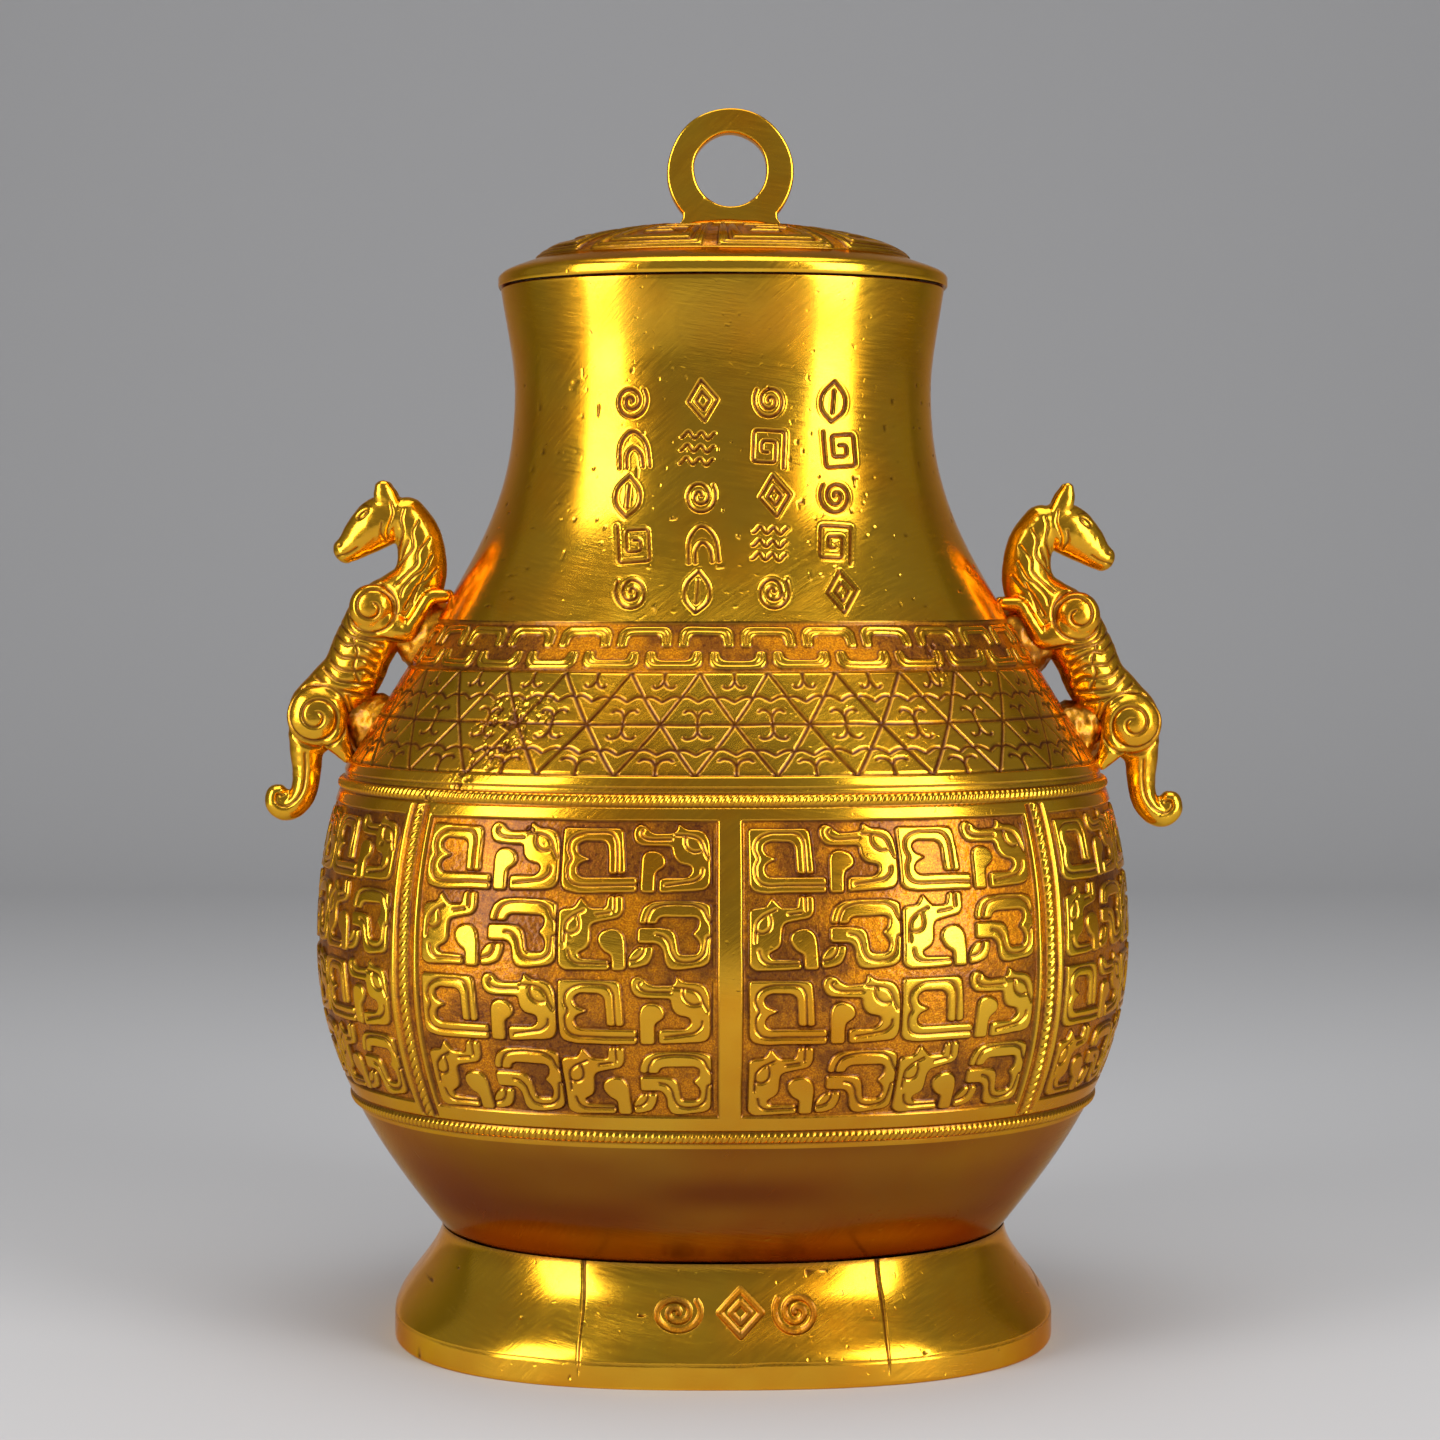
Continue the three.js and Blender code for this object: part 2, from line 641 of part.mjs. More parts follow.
const foreleg = [
  [-1, 28, 5.4, 4.6, 2.6], [-5.5, 25, 6, 3.2, 2.6], [-9, 23.9, 6, 2.2, 2.4], [-11, 26.5, 5.8, 1.9, 2.2],
  [-13.3, 30.2, 5.6, 1.8, 2.1], [-15.4, 33.2, 5.5, 1.8, 2.1], [-19.6, 33.6, 5.2, 1.4, 1.8],
];
const hindleg = [[11, -1, 5, 5, 3], [8.6, -5, 5.6, 3.2, 2.6], [6.2, -8.4, 5.4, 1.7, 2]];
const shoulderBoss = { out: -0.2, up: 30.4, radius: 6.2, side: 5.2, half: 4 };
const haunchBoss = { out: 14.2, up: 2.2, radius: 8, side: 5, half: 4.2 };
const tip = { reach: 0.55, size: 0.65, point: 0.25 }; // a limb's rounded end, as shares of its half height
const upperPad = { radius: 7.4, length: 10 };
const lowerPad = { radius: 5.6, length: 7 };
const padTaper = 0.8; // a pad's top over its foot

// A limb: ovals along a curve through its stations, closed by a rounded end at both ends.
function limb(stations, sides, steps, mirror = 1) {
  const vector = (x, y, z) => new THREE.Vector3(x, y, z);
  const path = new THREE.CatmullRomCurve3(stations.map(([out, up, side]) => vector(out, mirror * side, up)));
  const halfSizes = stations.map((station) => vector(station[3], station[4], 0));
  const sizes = new THREE.CatmullRomCurve3(halfSizes, false, 'catmullrom', 0.5);
  const rings = [];
  const addRing = (t, shift, size) => {
    const along = path.getTangent(t);
    const across = vector(0, 1, 0);
    const high = new THREE.Vector3().crossVectors(across, along).normalize();
    across.crossVectors(along, high).normalize();
    const { x: half, y: thick } = sizes.getPoint(t);
    const centre = path.getPoint(t).addScaledVector(along, shift * half);
    const ring = [];
    for (let i = 0; i < sides; i++) {
      const angle = (2 * Math.PI * i) / sides;
      ring.push(centre.clone()
        .addScaledVector(high, size * half * Math.cos(angle))
        .addScaledVector(across, size * thick * Math.sin(angle)));
    }
    rings.push(ring);
    return centre;
  };
  const first = addRing(0, -tip.reach, tip.size);
  first.addScaledVector(path.getTangent(0), -tip.point * stations[0][3]);
  for (let i = 0; i <= steps; i++) addRing(i / steps, 0, 1);
  const last = addRing(1, tip.reach, tip.size);
  last.addScaledVector(path.getTangent(1), tip.point * stations.at(-1)[3]);
  return closedRings(rings, first, last);
}

// Rings of equal count joined into one closed body, with a point at each end.
function closedRings(rings, first, last) {
  const sides = rings[0].length;
  const points = [first, ...rings.flat(), last];
  const index = [];
  const end = points.length - 1;
  for (let i = 0; i < sides; i++) {
    const next = (i + 1) % sides;
    index.push(0, 1 + next, 1 + i);
    for (let k = 0; k < rings.length - 1; k++) {
      const [a, b] = [1 + k * sides + i, 1 + k * sides + next];
      index.push(a, b, a + sides, b, b + sides, a + sides);
    }
    index.push(end, end - sides + i, end - sides + next);
  }
  const geometry = new THREE.BufferGeometry().setFromPoints(points);
  geometry.setIndex(index);
  return geometry;
}

// A round boss on a beast's side.
function boss({ out, up, radius, side, half }, mirror) {
  const ball = new THREE.SphereGeometry(radius, 10, 4);
  return ball.scale(1, half / radius, 1).translate(out, mirror * side, up);
}

// Each limb with how many sides its ovals have, and how many steps it takes along its curve.
function beastParts() {
  const parts = [limb(spine, 10, 14), limb(tail, 7, 10), limb(head, 9, 4)];
  for (const mirror of [-1, 1]) {
    parts.push(limb(ear, 5, 1, mirror), limb(foreleg, 6, 6, mirror));
    parts.push(limb(hindleg, 6, 2, mirror), boss(shoulderBoss, mirror), boss(haunchBoss, mirror));
  }
  return parts;
}

// The two places on the wall where a beast is held, at the height of its lower seat.
function beastSeats(height) {
  const seatAt = (level) => {
    const { point, normal } = outlineAt(level);
    return { point, lean: Math.atan2(normal.y, normal.x) };
  };
  return [seatAt(height), seatAt(height + seatSpacing * outlineAt(height).normal.x)];
}

// Turns a shape that stands on the wall into its place at a seat, its axis along the wall's normal.
const atSeat = ({ point, lean }) => (geometry) => geometry
  .rotateZ(-Math.PI / 2).rotateY(-lean).translate(point.x, 0, point.y);

const envelope = bodyEnvelope();

function beastHandle(height) {
  const [lower, upper] = beastSeats(height);
  const turn = lower.lean - THREE.MathUtils.degToRad(drawnLean);
  const place = (geometry) => geometry.rotateY(-turn).translate(lower.point.x, 0, lower.point.y);
  const placed = beastParts().map((part) => toSolid(place(part)));
  const pads = [[lower, lowerPad], [upper, upperPad]].map(([seat, { radius, length }]) => {
    const root = -bodyWall / 2;
    const profile = [[0, root], [radius, root], [padTaper * radius, length], [0, length]];
    return turned(profile, 10, atSeat(seat));
  });
  let beast = placed.reduce((all, part) => all.add(part));
  for (const pad of pads) beast = beast.add(pad);
  beast = beast.subtract(envelope);
  for (const seat of [lower, upper]) {
    const profile = tenonProfile(tenonRadius, lowerPad.length / 2, depthUnder(seat, innerRows()));
    beast = beast.add(turned(profile, tenonSides, atSeat(seat)));
  }
  return beast;
}

const handleSides = [
  { side: 'left', rise: handleRise, turn: Math.PI },
  { side: 'right', rise: -handleRise, turn: 0 },
];

function vesselBody() {
  let body = bodyShell();
  for (const { rise, turn } of handleSides) {
    for (const seat of beastSeats(lowerSeatHeight + rise)) {
      const hole = turned(holeProfile(tenonRadius, bodyWall), holeSides, (g) => atSeat(seat)(g).rotateZ(turn));
      body = body.subtract(hole);
    }
  }
  return body;
}

function buildHandles() {
  const group = new THREE.Group();
  for (const { side, rise, turn } of handleSides) {
    const height = lowerSeatHeight + rise;
    const place = new THREE.Group();
    place.rotation.z = turn;
    place.add(toMesh(`handle_${side}`, beastHandle(height), giltPale));
    const [lower, upper] = beastSeats(height);
    const rove = (seat) => {
      const profile = roveProfile(tenonRadius, depthUnder(seat, innerRows()));
      return turned(profile, holeSides, atSeat(seat));
    };
    place.add(toMesh(`lower_rove_${side}`, rove(lower), giltDark));
    place.add(toMesh(`upper_rove_${side}`, rove(upper), giltDark));
    group.add(place);
  }
  return group;
}

function buildLid() {
  const lid = new THREE.Group();
  lid.position.z = lidHeight;
  const hole = turned(holeProfile(tenonRadius, lidWall), holeSides, upright(domeRise));
  lid.add(toMesh('lid_cover', lidCover().subtract(hole), gilt));
  lid.add(toMesh('lid_collar', lidCollar(), giltDark));
  lid.add(toMesh('lid_ring', lidRing(), giltPale));
  const rove = turned(roveProfile(tenonRadius, ringDepth()), holeSides, upright(domeRise));
  lid.add(toMesh('ring_rove', rove, giltDark));
  return lid;
}

function buildBottle() {
  const bottle = new THREE.Group();
  bottle.add(toMesh('vessel_body', vesselBody(), gilt));
  bottle.add(toMesh('foot_ring', footRing(), gilt));
  bottle.add(buildHandles());
  bottle.add(buildLid());
  return bottle;
}

export default buildBottle();
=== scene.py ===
import math
import bpy
import numpy as np
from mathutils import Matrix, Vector


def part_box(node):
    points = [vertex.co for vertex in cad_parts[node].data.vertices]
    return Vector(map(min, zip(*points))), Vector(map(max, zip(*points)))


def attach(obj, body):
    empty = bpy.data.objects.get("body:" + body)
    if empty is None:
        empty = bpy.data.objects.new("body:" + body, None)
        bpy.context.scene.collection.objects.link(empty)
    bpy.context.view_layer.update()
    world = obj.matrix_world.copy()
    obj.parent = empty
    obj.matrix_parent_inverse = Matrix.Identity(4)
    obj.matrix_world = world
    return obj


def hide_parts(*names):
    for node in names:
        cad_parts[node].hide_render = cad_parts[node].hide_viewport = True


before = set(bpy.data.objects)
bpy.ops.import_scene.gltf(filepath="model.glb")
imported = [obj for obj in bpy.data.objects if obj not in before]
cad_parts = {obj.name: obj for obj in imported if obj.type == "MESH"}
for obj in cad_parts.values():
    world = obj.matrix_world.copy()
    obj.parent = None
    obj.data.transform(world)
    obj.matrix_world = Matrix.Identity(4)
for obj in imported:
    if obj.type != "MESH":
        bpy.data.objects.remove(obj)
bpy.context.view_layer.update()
print("frame loaded, nodes:", len(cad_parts))

mm = 0.001
coarse = 1.0


# Curves and small sums that every piece uses

def bezier(p0, p1, p2, p3, count):
    t = np.linspace(0, 1, count)[:, None]
    p0, p1, p2, p3 = (np.array(p, float) for p in (p0, p1, p2, p3))
    return (1 - t) ** 3 * p0 + 3 * (1 - t) ** 2 * t * p1 + 3 * (1 - t) * t ** 2 * p2 + t ** 3 * p3


def roundedPath(points, radius, closed=False, cornerSteps=4):
    # a line through the points, with its corners rounded
    pts = np.array(points, float)
    count = len(pts)
    out = []
    for i in range(count):
        if not closed and i in (0, count - 1):
            out.append(pts[i])
            continue
        before, here, after = pts[i - 1], pts[i], pts[(i + 1) % count]
        toBefore, toAfter = before - here, after - here
        lenBefore, lenAfter = np.linalg.norm(toBefore), np.linalg.norm(toAfter)
        a = here + toBefore / lenBefore * min(radius, 0.45 * lenBefore)
        b = here + toAfter / lenAfter * min(radius, 0.45 * lenAfter)
        for t in np.linspace(0, 1, cornerSteps + 1):
            out.append((1 - t) ** 2 * a + 2 * t * (1 - t) * here + t * t * b)
    return np.array(out)


def pathDistance(x, y, path, closed=False):
    ends = np.vstack([path[1:], path[:1]]) if closed else path[1:]
    starts = path if closed else path[:-1]
    best = np.full(x.shape, 1e9)
    for (ax, ay), (bx, by) in zip(starts, ends):
        dx, dy = bx - ax, by - ay
        length = dx * dx + dy * dy
        if length < 1e-12:
            continue
        share = np.clip(((x - ax) * dx + (y - ay) * dy) / length, 0, 1)
        best = np.minimum(best, (x - ax - share * dx) ** 2 + (y - ay - share * dy) ** 2)
    return np.sqrt(best)


def insidePath(x, y, path):
    inside = np.zeros(x.shape, bool)
    for (ax, ay), (bx, by) in zip(path, np.vstack([path[1:], path[:1]])):
        if ay == by:
            continue
        crosses = (ay > y) != (by > y)
        inside ^= crosses & (x < (bx - ax) * (y - ay) / (by - ay) + ax)
    return inside


def signedDistance(x, y, path):
    distance = pathDistance(x, y, path, closed=True)
    return np.where(insidePath(x, y, path), -distance, distance)


def ramp(value, low, high):
    t = np.clip((value - low) / (high - low), 0, 1)
    return t * t * (3 - 2 * t)


def bump(value, width):
    return np.exp(-(value / width) ** 2)


def between(value, low, high, lowSoft, highSoft):
    # 1 from low to high, falling softly to 0 at both ends
    return ramp(value - low, 0, lowSoft) * ramp(high - value, 0, highSoft)


def softNoise(u, v, cell, seed, wrap=None):
    # smooth noise from -1 to 1 on a lattice of cells, that can close round the vessel
    rows, openColumns = 211, 997
    columns = max(4, int(round(wrap / cell))) if wrap else openColumns
    size = wrap / columns if wrap else cell
    table = np.random.RandomState(seed).uniform(-1, 1, (rows, columns))
    gu, gv = u / size, v / cell
    iu, iv = np.floor(gu).astype(int), np.floor(gv).astype(int)
    fu, fv = gu - iu, gv - iv
    fu, fv = fu * fu * (3 - 2 * fu), fv * fv * (3 - 2 * fv)
    low, high, left, right = iv % rows, (iv + 1) % rows, iu % columns, (iu + 1) % columns
    below = table[low, left] * (1 - fu) + table[low, right] * fu
    above = table[high, left] * (1 - fu) + table[high, right] * fu
    return below * (1 - fv) + above * fv


# The vessel's own shape: a rounded square section and one outline

vessel = dict(
    bodyPower=2.35, footPower=2.55, depthShare=0.92,  # 2 is an ellipse, larger is squarer
    waist=(73.4, 28.6), belly=(105.2, 101.1), shoulder=(96.4, 148.3),  # half width, height in mm
    neckBase=(74.0, 184.7), neck=(54.0, 243.1), mouth=(57.4, 269.6),
    # the handles of the outline's curves, as shares of the stretch that each one spans
    waistHandle=(0.214, 0.276), bellyUnder=0.414, bellyOver=0.36, shoulderHandle=(0.14, -0.31),
    neckBaseRise=0.37, neckUnder=0.4, neckOver=0.3, mouthHandle=(-0.05, -0.35),
    wall=3.0, floorTop=36.0, spigot=68.8, floorDip=4.0, bellyBase=59.9,
    unevenness=0.13, slowCell=34, quickCell=15, quickShare=0.45,  # how the hand-worked wall wanders, mm
)


def vesselOutline():
    v = vessel
    places = ("waist", "belly", "shoulder", "neckBase", "neck", "mouth")
    waist, belly, shoulder, neckBase, neck, mouth = (np.array(v[place]) for place in places)
    handles = ("waistHandle", "shoulderHandle", "mouthHandle")
    waistHandle, shoulderHandle, mouthHandle = (np.array(v[handle]) for handle in handles)
    lower, upper = belly[1] - waist[1], shoulder[1] - belly[1]
    rise, flare = neck[1] - neckBase[1], mouth[1] - neck[1]
    lean = (shoulder[0] - neckBase[0]) / (neckBase[1] - shoulder[1])
    leaning = np.array((-lean, 1)) * v["neckBaseRise"]
    parts = [
        bezier(waist, waist + waistHandle * lower, belly - (0, v["bellyUnder"] * lower), belly, 120),
        bezier(belly, belly + (0, v["bellyOver"] * upper), shoulder + shoulderHandle * upper, shoulder, 80),
        np.linspace(shoulder, neckBase, 40),
        bezier(neckBase, neckBase + leaning * rise, neck - (0, v["neckUnder"] * rise), neck, 80),
        bezier(neck, neck + (0, v["neckOver"] * flare), mouth + mouthHandle * flare, mouth, 40),
    ]
    return np.vstack([parts[0]] + [p[1:] for p in parts[1:]])


outline = vesselOutline()
outlineRun = np.concatenate([[0], np.cumsum(np.hypot(*np.diff(outline, axis=0).T))])


def runAt(height):
    return float(np.interp(height, outline[:, 1], outlineRun))


def outlineAt(run):
    return np.interp(run, outlineRun, outline[:, 0]), np.interp(run, outlineRun, outline[:, 1])


def quarterPoint(t, power):
    angle = np.clip(t, 0, 1) * math.pi / 2
    share = 2 / power
    return np.abs(np.cos(angle)) ** share, vessel["depthShare"] * np.abs(np.sin(angle)) ** share


# Distance round the vessel is measured along the belly, from the middle of the right side
arcT = np.sin(np.linspace(0, math.pi / 2, 6001)) ** 2  # closer steps at the ends, where the section is flat
arcPoints = np.stack(quarterPoint(arcT, vessel["bodyPower"])).T * vessel["belly"][0]
arcRun = np.concatenate([[0], np.cumsum(np.hypot(*np.diff(arcPoints, axis=0).T))])
quarterArc = float(arcRun[-1])
cornerArc = float(np.interp(0.5, arcT, arcRun))
roundArc = 4 * quarterArc


def sectionAt(arc, power):
    arc = np.mod(arc, roundArc)
    quarter = np.minimum((arc // quarterArc).astype(int), 3)
    along = arc - quarter * quarterArc
    along = np.where(quarter % 2 == 1, quarterArc - along, along)
    x, y = quarterPoint(np.interp(along, arcRun, arcT), power)
    return np.where((quarter == 0) | (quarter == 3), x, -x), np.where(quarter < 2, y, -y)


def profileSheet(profile, arcs):
    # the body's section, carried along a profile of half widths and heights
    x, z = np.array(profile, float).T
    ux, uy = sectionAt(arcs, vessel["bodyPower"])
    return np.stack([np.outer(x, ux), np.outer(x, uy), np.repeat(z[:, None], len(arcs), 1)], -1)


def wallSheet(arcs, runs):
    return profileSheet(np.stack(outlineAt(runs), -1), arcs)


def sheetNormals(sheet):
    across = np.gradient(sheet, axis=1)
    up = np.gradient(sheet, axis=0)
    normal = np.cross(across, up)
    return normal / np.maximum(np.linalg.norm(normal, axis=-1, keepdims=True), 1e-12)


def widened(arcs):
    return np.concatenate([[2 * arcs[0] - arcs[1]], arcs, [2 * arcs[-1] - arcs[-2]]])


def pushedSheet(arcs, runs, height):
    # one more row and column on every side keep the normals true where two pieces meet
    margin = 0.4
    tallRuns = np.concatenate([[runs[0] - margin], runs, [runs[-1] + margin]])
    normals = sheetNormals(wallSheet(widened(arcs), tallRuns))[1:-1, 1:-1]
    return wallSheet(arcs, runs) + normals * (height + wander(arcs, runs))[..., None]


def wander(arcs, runs):
    # the slow unevenness of a wall that was cast and scraped by hand, the same on every sheet
    arc, run = np.meshgrid(arcs, runs)
    slow = softNoise(arc, run, vessel["slowCell"], 11, roundArc)
    quick = softNoise(arc, run, vessel["quickCell"], 12, roundArc)
    return vessel["unevenness"] * (slow + vessel["quickShare"] * quick)


# Meshes

def meshFrom(name, points, faces, relief=None, uv=None):
    mesh = bpy.data.meshes.new(name)
    points = np.asarray(points, np.float32) * np.float32(mm)
    faces = np.asarray(faces, np.int32)
    sides = faces.shape[1]
    mesh.vertices.add(len(points))
    mesh.vertices.foreach_set("co", points.ravel())
    mesh.loops.add(faces.size)
    mesh.loops.foreach_set("vertex_index", faces.ravel())
    mesh.polygons.add(len(faces))
    mesh.polygons.foreach_set("loop_start", np.arange(0, faces.size, sides, dtype=np.int32))
    mesh.update(calc_edges=True)
    mesh.polygons.foreach_set("use_smooth", np.ones(len(faces), bool))
    if relief is not None:
        layer = mesh.attributes.new("relief", "FLOAT_COLOR", "POINT")
        layer.data.foreach_set("color", np.asarray(relief, np.float32).ravel())
    if uv is not None:
        layer = mesh.uv_layers.new(name="OFBake")
        layer.uv.foreach_set("vector", np.asarray(uv, np.float32)[faces.ravel()].ravel())
    mesh.update()
    piece = bpy.data.objects.new(name, mesh)
    bpy.context.scene.collection.objects.link(piece)
    return piece


def gridFaces(rows, columns, closed=False):
    index = np.arange(rows * columns).reshape(rows, columns)
    right = np.roll(index, -1, 1) if closed else index[:, 1:]
    left = index if closed else index[:, :-1]
    return np.stack([left[:-1], right[:-1], right[1:], left[1:]], -1).reshape(-1, 4)


def gridUv(sheet):
    # the sheet laid flat, in proportion and with a small border
    rows, columns = sheet.shape[:2]
    width = np.linalg.norm(np.diff(sheet, axis=1), axis=-1).sum(1).max()
    height = np.linalg.norm(np.diff(sheet, axis=0), axis=-1).sum(0).max()
    most = max(width, height) * 1.01
    u, v = np.meshgrid(np.linspace(0, width / most, columns), np.linspace(0, height / most, rows))
    return np.stack([u, v], -1).reshape(-1, 2) + 0.004


def reliefColours(ground, line, tone):
    # what the finish reads at each point: sunk ground, dark line, and tone from bright to low. Each of the
    # three also carries painted shade in places
    channels = [np.clip(channel, 0, 1) for channel in (ground, line, tone)]
    return np.stack(channels + [np.ones_like(ground)], -1)


def plainColours(shape, line, tone):
    return reliefColours(np.zeros(shape), np.full(shape, line), np.full(shape, tone))


def sheetPiece(name, sheet, relief):
    faces = gridFaces(*sheet.shape[:2])
    return meshFrom(name, sheet.reshape(-1, 3), faces, relief.reshape(-1, 4), gridUv(sheet))


def steps(low, high, cell):
    return np.linspace(low, high, max(2, int(round((high - low) / (cell * coarse))) + 1))


# Stamps: one repeat of an ornament, drawn once on a fine grid and read back at each point of a wall

farAway = 9.0  # mm, further than any edge or cut reaches

graving = dict(
    cell=0.1,  # of a stamp's grid, mm
    slopeStart=-0.32, slopeEnd=0.14,  # a raised edge falls between these distances from its drawn outline
    shadeLine=0.1, shadeLineWidth=0.24,  # painted shade: the dark line round its foot
    # share of the relief, and shares of a groove's width
    grooveDepth=0.62, grooveSlope=0.75, grooveDark=0.62,
)


def stampGrid(width, height):
    columns, rows = int(round(width / graving["cell"])), int(round(height / graving["cell"]))
    return np.meshgrid((np.arange(columns) + 0.5) * width / columns, (np.arange(rows) + 0.5) * height / rows)


def makeStamp(width, height, raised, grooves, grooveWidth=0.42):
    # raised: closed outlines in mm, y down from the top. Gives height 0 to 1, and dark line 0 to 1: painted
    # shade round the foot of raised shapes, and a dark fill in the grooves
    g = graving
    x, y = stampGrid(width, height)
    distance = np.full(x.shape, farAway)
    for path in raised:
        for shift in (-width, 0, width):
            if path[:, 0].max() + shift > -1 and path[:, 0].min() + shift < width + 1:
                distance = np.minimum(distance, signedDistance(x - shift, y, path))
    level = 1 - ramp(distance, g["slopeStart"], g["slopeEnd"])
    # painted shade: a dark line round the foot of each raised shape
    line = bump(distance - g["shadeLine"], g["shadeLineWidth"])
    for path in grooves:
        away = pathDistance(x, y, path)
        level = level - g["grooveDepth"] * bump(away, grooveWidth * g["grooveSlope"]) * (distance < 0.2)
        line = np.maximum(line, bump(away, grooveWidth * g["grooveDark"]))
    return dict(width=width, height=height, level=level, line=line)


def readStamp(stamp, x, y):
    rows, columns = stamp["level"].shape
    gx = np.mod(x, stamp["width"]) / stamp["width"] * columns - 0.5
    gy = np.clip(y / stamp["height"] * rows - 0.5, 0, rows - 1.001)
    ix, iy = np.floor(gx).astype(int), np.floor(gy).astype(int)
    fx, fy = gx - ix, gy - iy
    left, right = ix % columns, (ix + 1) % columns

    def mix(table):
        low = table[iy, left] * (1 - fx) + table[iy, right] * fx
        high = table[iy + 1, left] * (1 - fx) + table[iy + 1, right] * fx
        return low * (1 - fy) + high * fy

    return mix(stamp["level"]), mix(stamp["line"])


# The belly's ornament: a square hook with a beast's head, and under it the same turned about.
# Drawn on a grid where 36.1 units are 1 mm.

panelMotif = dict(
    unitsPerMm=36.1, width=33.4, height=35.2, rounding=30,
    raised=[
        [(3, 66), (470, 68), (500, 100), (512, 240), (524, 453), (388, 453), (383, 318), (376, 216),
         (338, 180), (178, 175), (135, 206), (124, 238), (143, 286), (238, 328), (154, 364), (128, 408),
         (140, 453), (180, 478), (618, 478), (618, 608), (138, 613), (38, 593), (6, 548)],
        [(643, 608), (641, 338), (658, 278), (708, 253), (768, 256), (823, 288), (843, 348), (823, 393),
         (768, 428), (758, 468), (758, 608)],
        [(786, 606), (786, 488), (830, 478), (988, 478), (1023, 453), (1043, 418), (1028, 378), (938, 358),
         (903, 318), (888, 278), (883, 218), (740, 216), (638, 210), (593, 178), (573, 118), (578, 68),
         (603, 38), (638, 33), (678, 50), (713, 88), (758, 110), (898, 103), (923, 73), (928, 18), (1000, 73),
         (1088, 76), (1148, 103), (1183, 178), (1193, 288), (1194, 468), (1186, 533), (1153, 578),
         (1088, 591), (938, 598)],
        [(6, 1218), (8, 823), (6, 763), (38, 738), (133, 728), (178, 638), (258, 735), (378, 735), (393, 633),
         (516, 633), (516, 763), (483, 818), (338, 848), (283, 863), (263, 898), (258, 1023), (238, 1068),
         (160, 1115), (188, 1158), (408, 1168), (413, 1246), (58, 1258)],
        [(543, 1253), (538, 1023), (523, 953), (478, 908), (418, 903), (358, 923), (323, 963), (323, 1023),
         (368, 1093), (426, 1123), (428, 1253)],
        [(563, 1243), (558, 1163), (578, 1113), (628, 1053), (760, 1048), (753, 1123), (718, 1203),
         (638, 1235)],
        [(633, 864), (638, 803), (668, 723), (738, 678), (888, 668), (1118, 673), (1190, 703), (1194, 743),
         (1194, 1140), (1184, 1188), (1138, 1220), (938, 1248), (868, 1238), (838, 1183), (828, 1078),
         (788, 1028), (628, 1023), (628, 892), (788, 892), (888, 905), (923, 943), (938, 1023), (946, 1093),
         (968, 1115), (1088, 1111), (1110, 1043), (1088, 988), (1043, 943), (1093, 898), (1103, 828),
         (1068, 801), (818, 805), (786, 828), (776, 864)],
    ],
    grooves=[
        [(458, 448), (450, 190), (420, 125), (370, 103), (190, 103), (115, 130), (66, 175), (53, 250),
         (88, 333), (58, 378), (55, 430), (63, 490), (98, 533), (160, 548), (618, 546)],
        [(883, 160), (738, 163), (678, 153), (643, 123), (638, 93), (656, 80)],
        [(911, 121), (1018, 125), (1088, 148), (1123, 198), (1138, 258), (1173, 323)],
        [(988, 138), (983, 188), (1008, 238), (1058, 268), (1108, 258)],
        [(838, 543), (1068, 508), (1123, 458), (1128, 408)],
        [(448, 633), (448, 753)], [(308, 788), (413, 773)],
        [(88, 1093), (103, 1163), (153, 1198), (408, 1193)],
        [(213, 753), (118, 803), (63, 863), (58, 1023)],
        [(163, 803), (178, 858), (168, 923), (113, 953), (70, 940)],
        [(573, 1178), (638, 1163), (678, 1113), (686, 1053)],
        [(693, 864), (703, 803), (738, 733), (808, 705), (918, 693), (1068, 701), (1138, 743), (1163, 813),
         (1194, 858)],
        [(778, 953), (838, 968), (878, 1023), (888, 1093), (923, 1163), (998, 1183), (1088, 1168),
         (1143, 1123), (1158, 1023), (1163, 973), (1194, 973)],
    ],
)


def drawnPaths(motif, key, closed):
    scale = motif["unitsPerMm"]
    return [roundedPath(path, motif["rounding"], closed) / scale for path in motif[key]]


panelStamp = makeStamp(panelMotif["width"], panelMotif["height"], drawnPaths(panelMotif, "raised", True),
                       drawnPaths(panelMotif, "grooves", False))
print("belly stamp drawn")


# The shoulder's two bands: hooked brackets above, and a lattice with small forked sprigs below

brackets = dict(
    count=32, phase=-0.35, width=14.8, gap=1.5, stroke=2.3, armWidth=2.5, height=14.3,
    upperTop=1.4, upperDepth=5.7, lowerTop=8.2, lowerDepth=4.9,
)


def bracketStamp():
    # a flat C open downwards, and one open upwards half a place further on
    b = brackets
    low, high = b["gap"] / 2, b["width"] - b["gap"] / 2

    def hook(top, depth, flip, shift):
        bottom = top + depth
        under = top + b["stroke"]
        armIn, armOut = low + b["armWidth"], high - b["armWidth"]
        shape = np.array([(low, bottom), (low, top + 1.4), (low + 1.4, top), (high - 1.4, top),
                          (high, top + 1.4), (high, bottom), (armOut, bottom), (armOut - 0.3, under + 0.7),
                          (armOut - 1.2, under), (armIn + 1.2, under), (armIn + 0.2, under + 0.7),
                          (armIn, bottom)])
        inner = np.array([(low + 1.2, bottom - 0.7), (low + 1.3, top + 2.1), (low + 2.4, top + 1.15),
                          (high - 2.5, top + 1.15), (high - 1.35, top + 2.2), (high - 1.2, bottom - 0.8)])
        for path in (shape, inner):
            if flip:
                path[:, 1] = top + bottom - path[:, 1]
            path[:, 0] += shift
        return roundedPath(shape, 0.9, True), roundedPath(inner, 0.8)

    upper, upperLine = hook(b["upperTop"], b["upperDepth"], False, 0)
    lower, lowerLine = hook(b["lowerTop"], b["lowerDepth"], True, b["width"] / 2)
    lines = [upperLine, lowerLine, lowerLine - (b["width"], 0)]
    return makeStamp(b["width"], b["height"], [upper, lower], lines, grooveWidth=0.3)


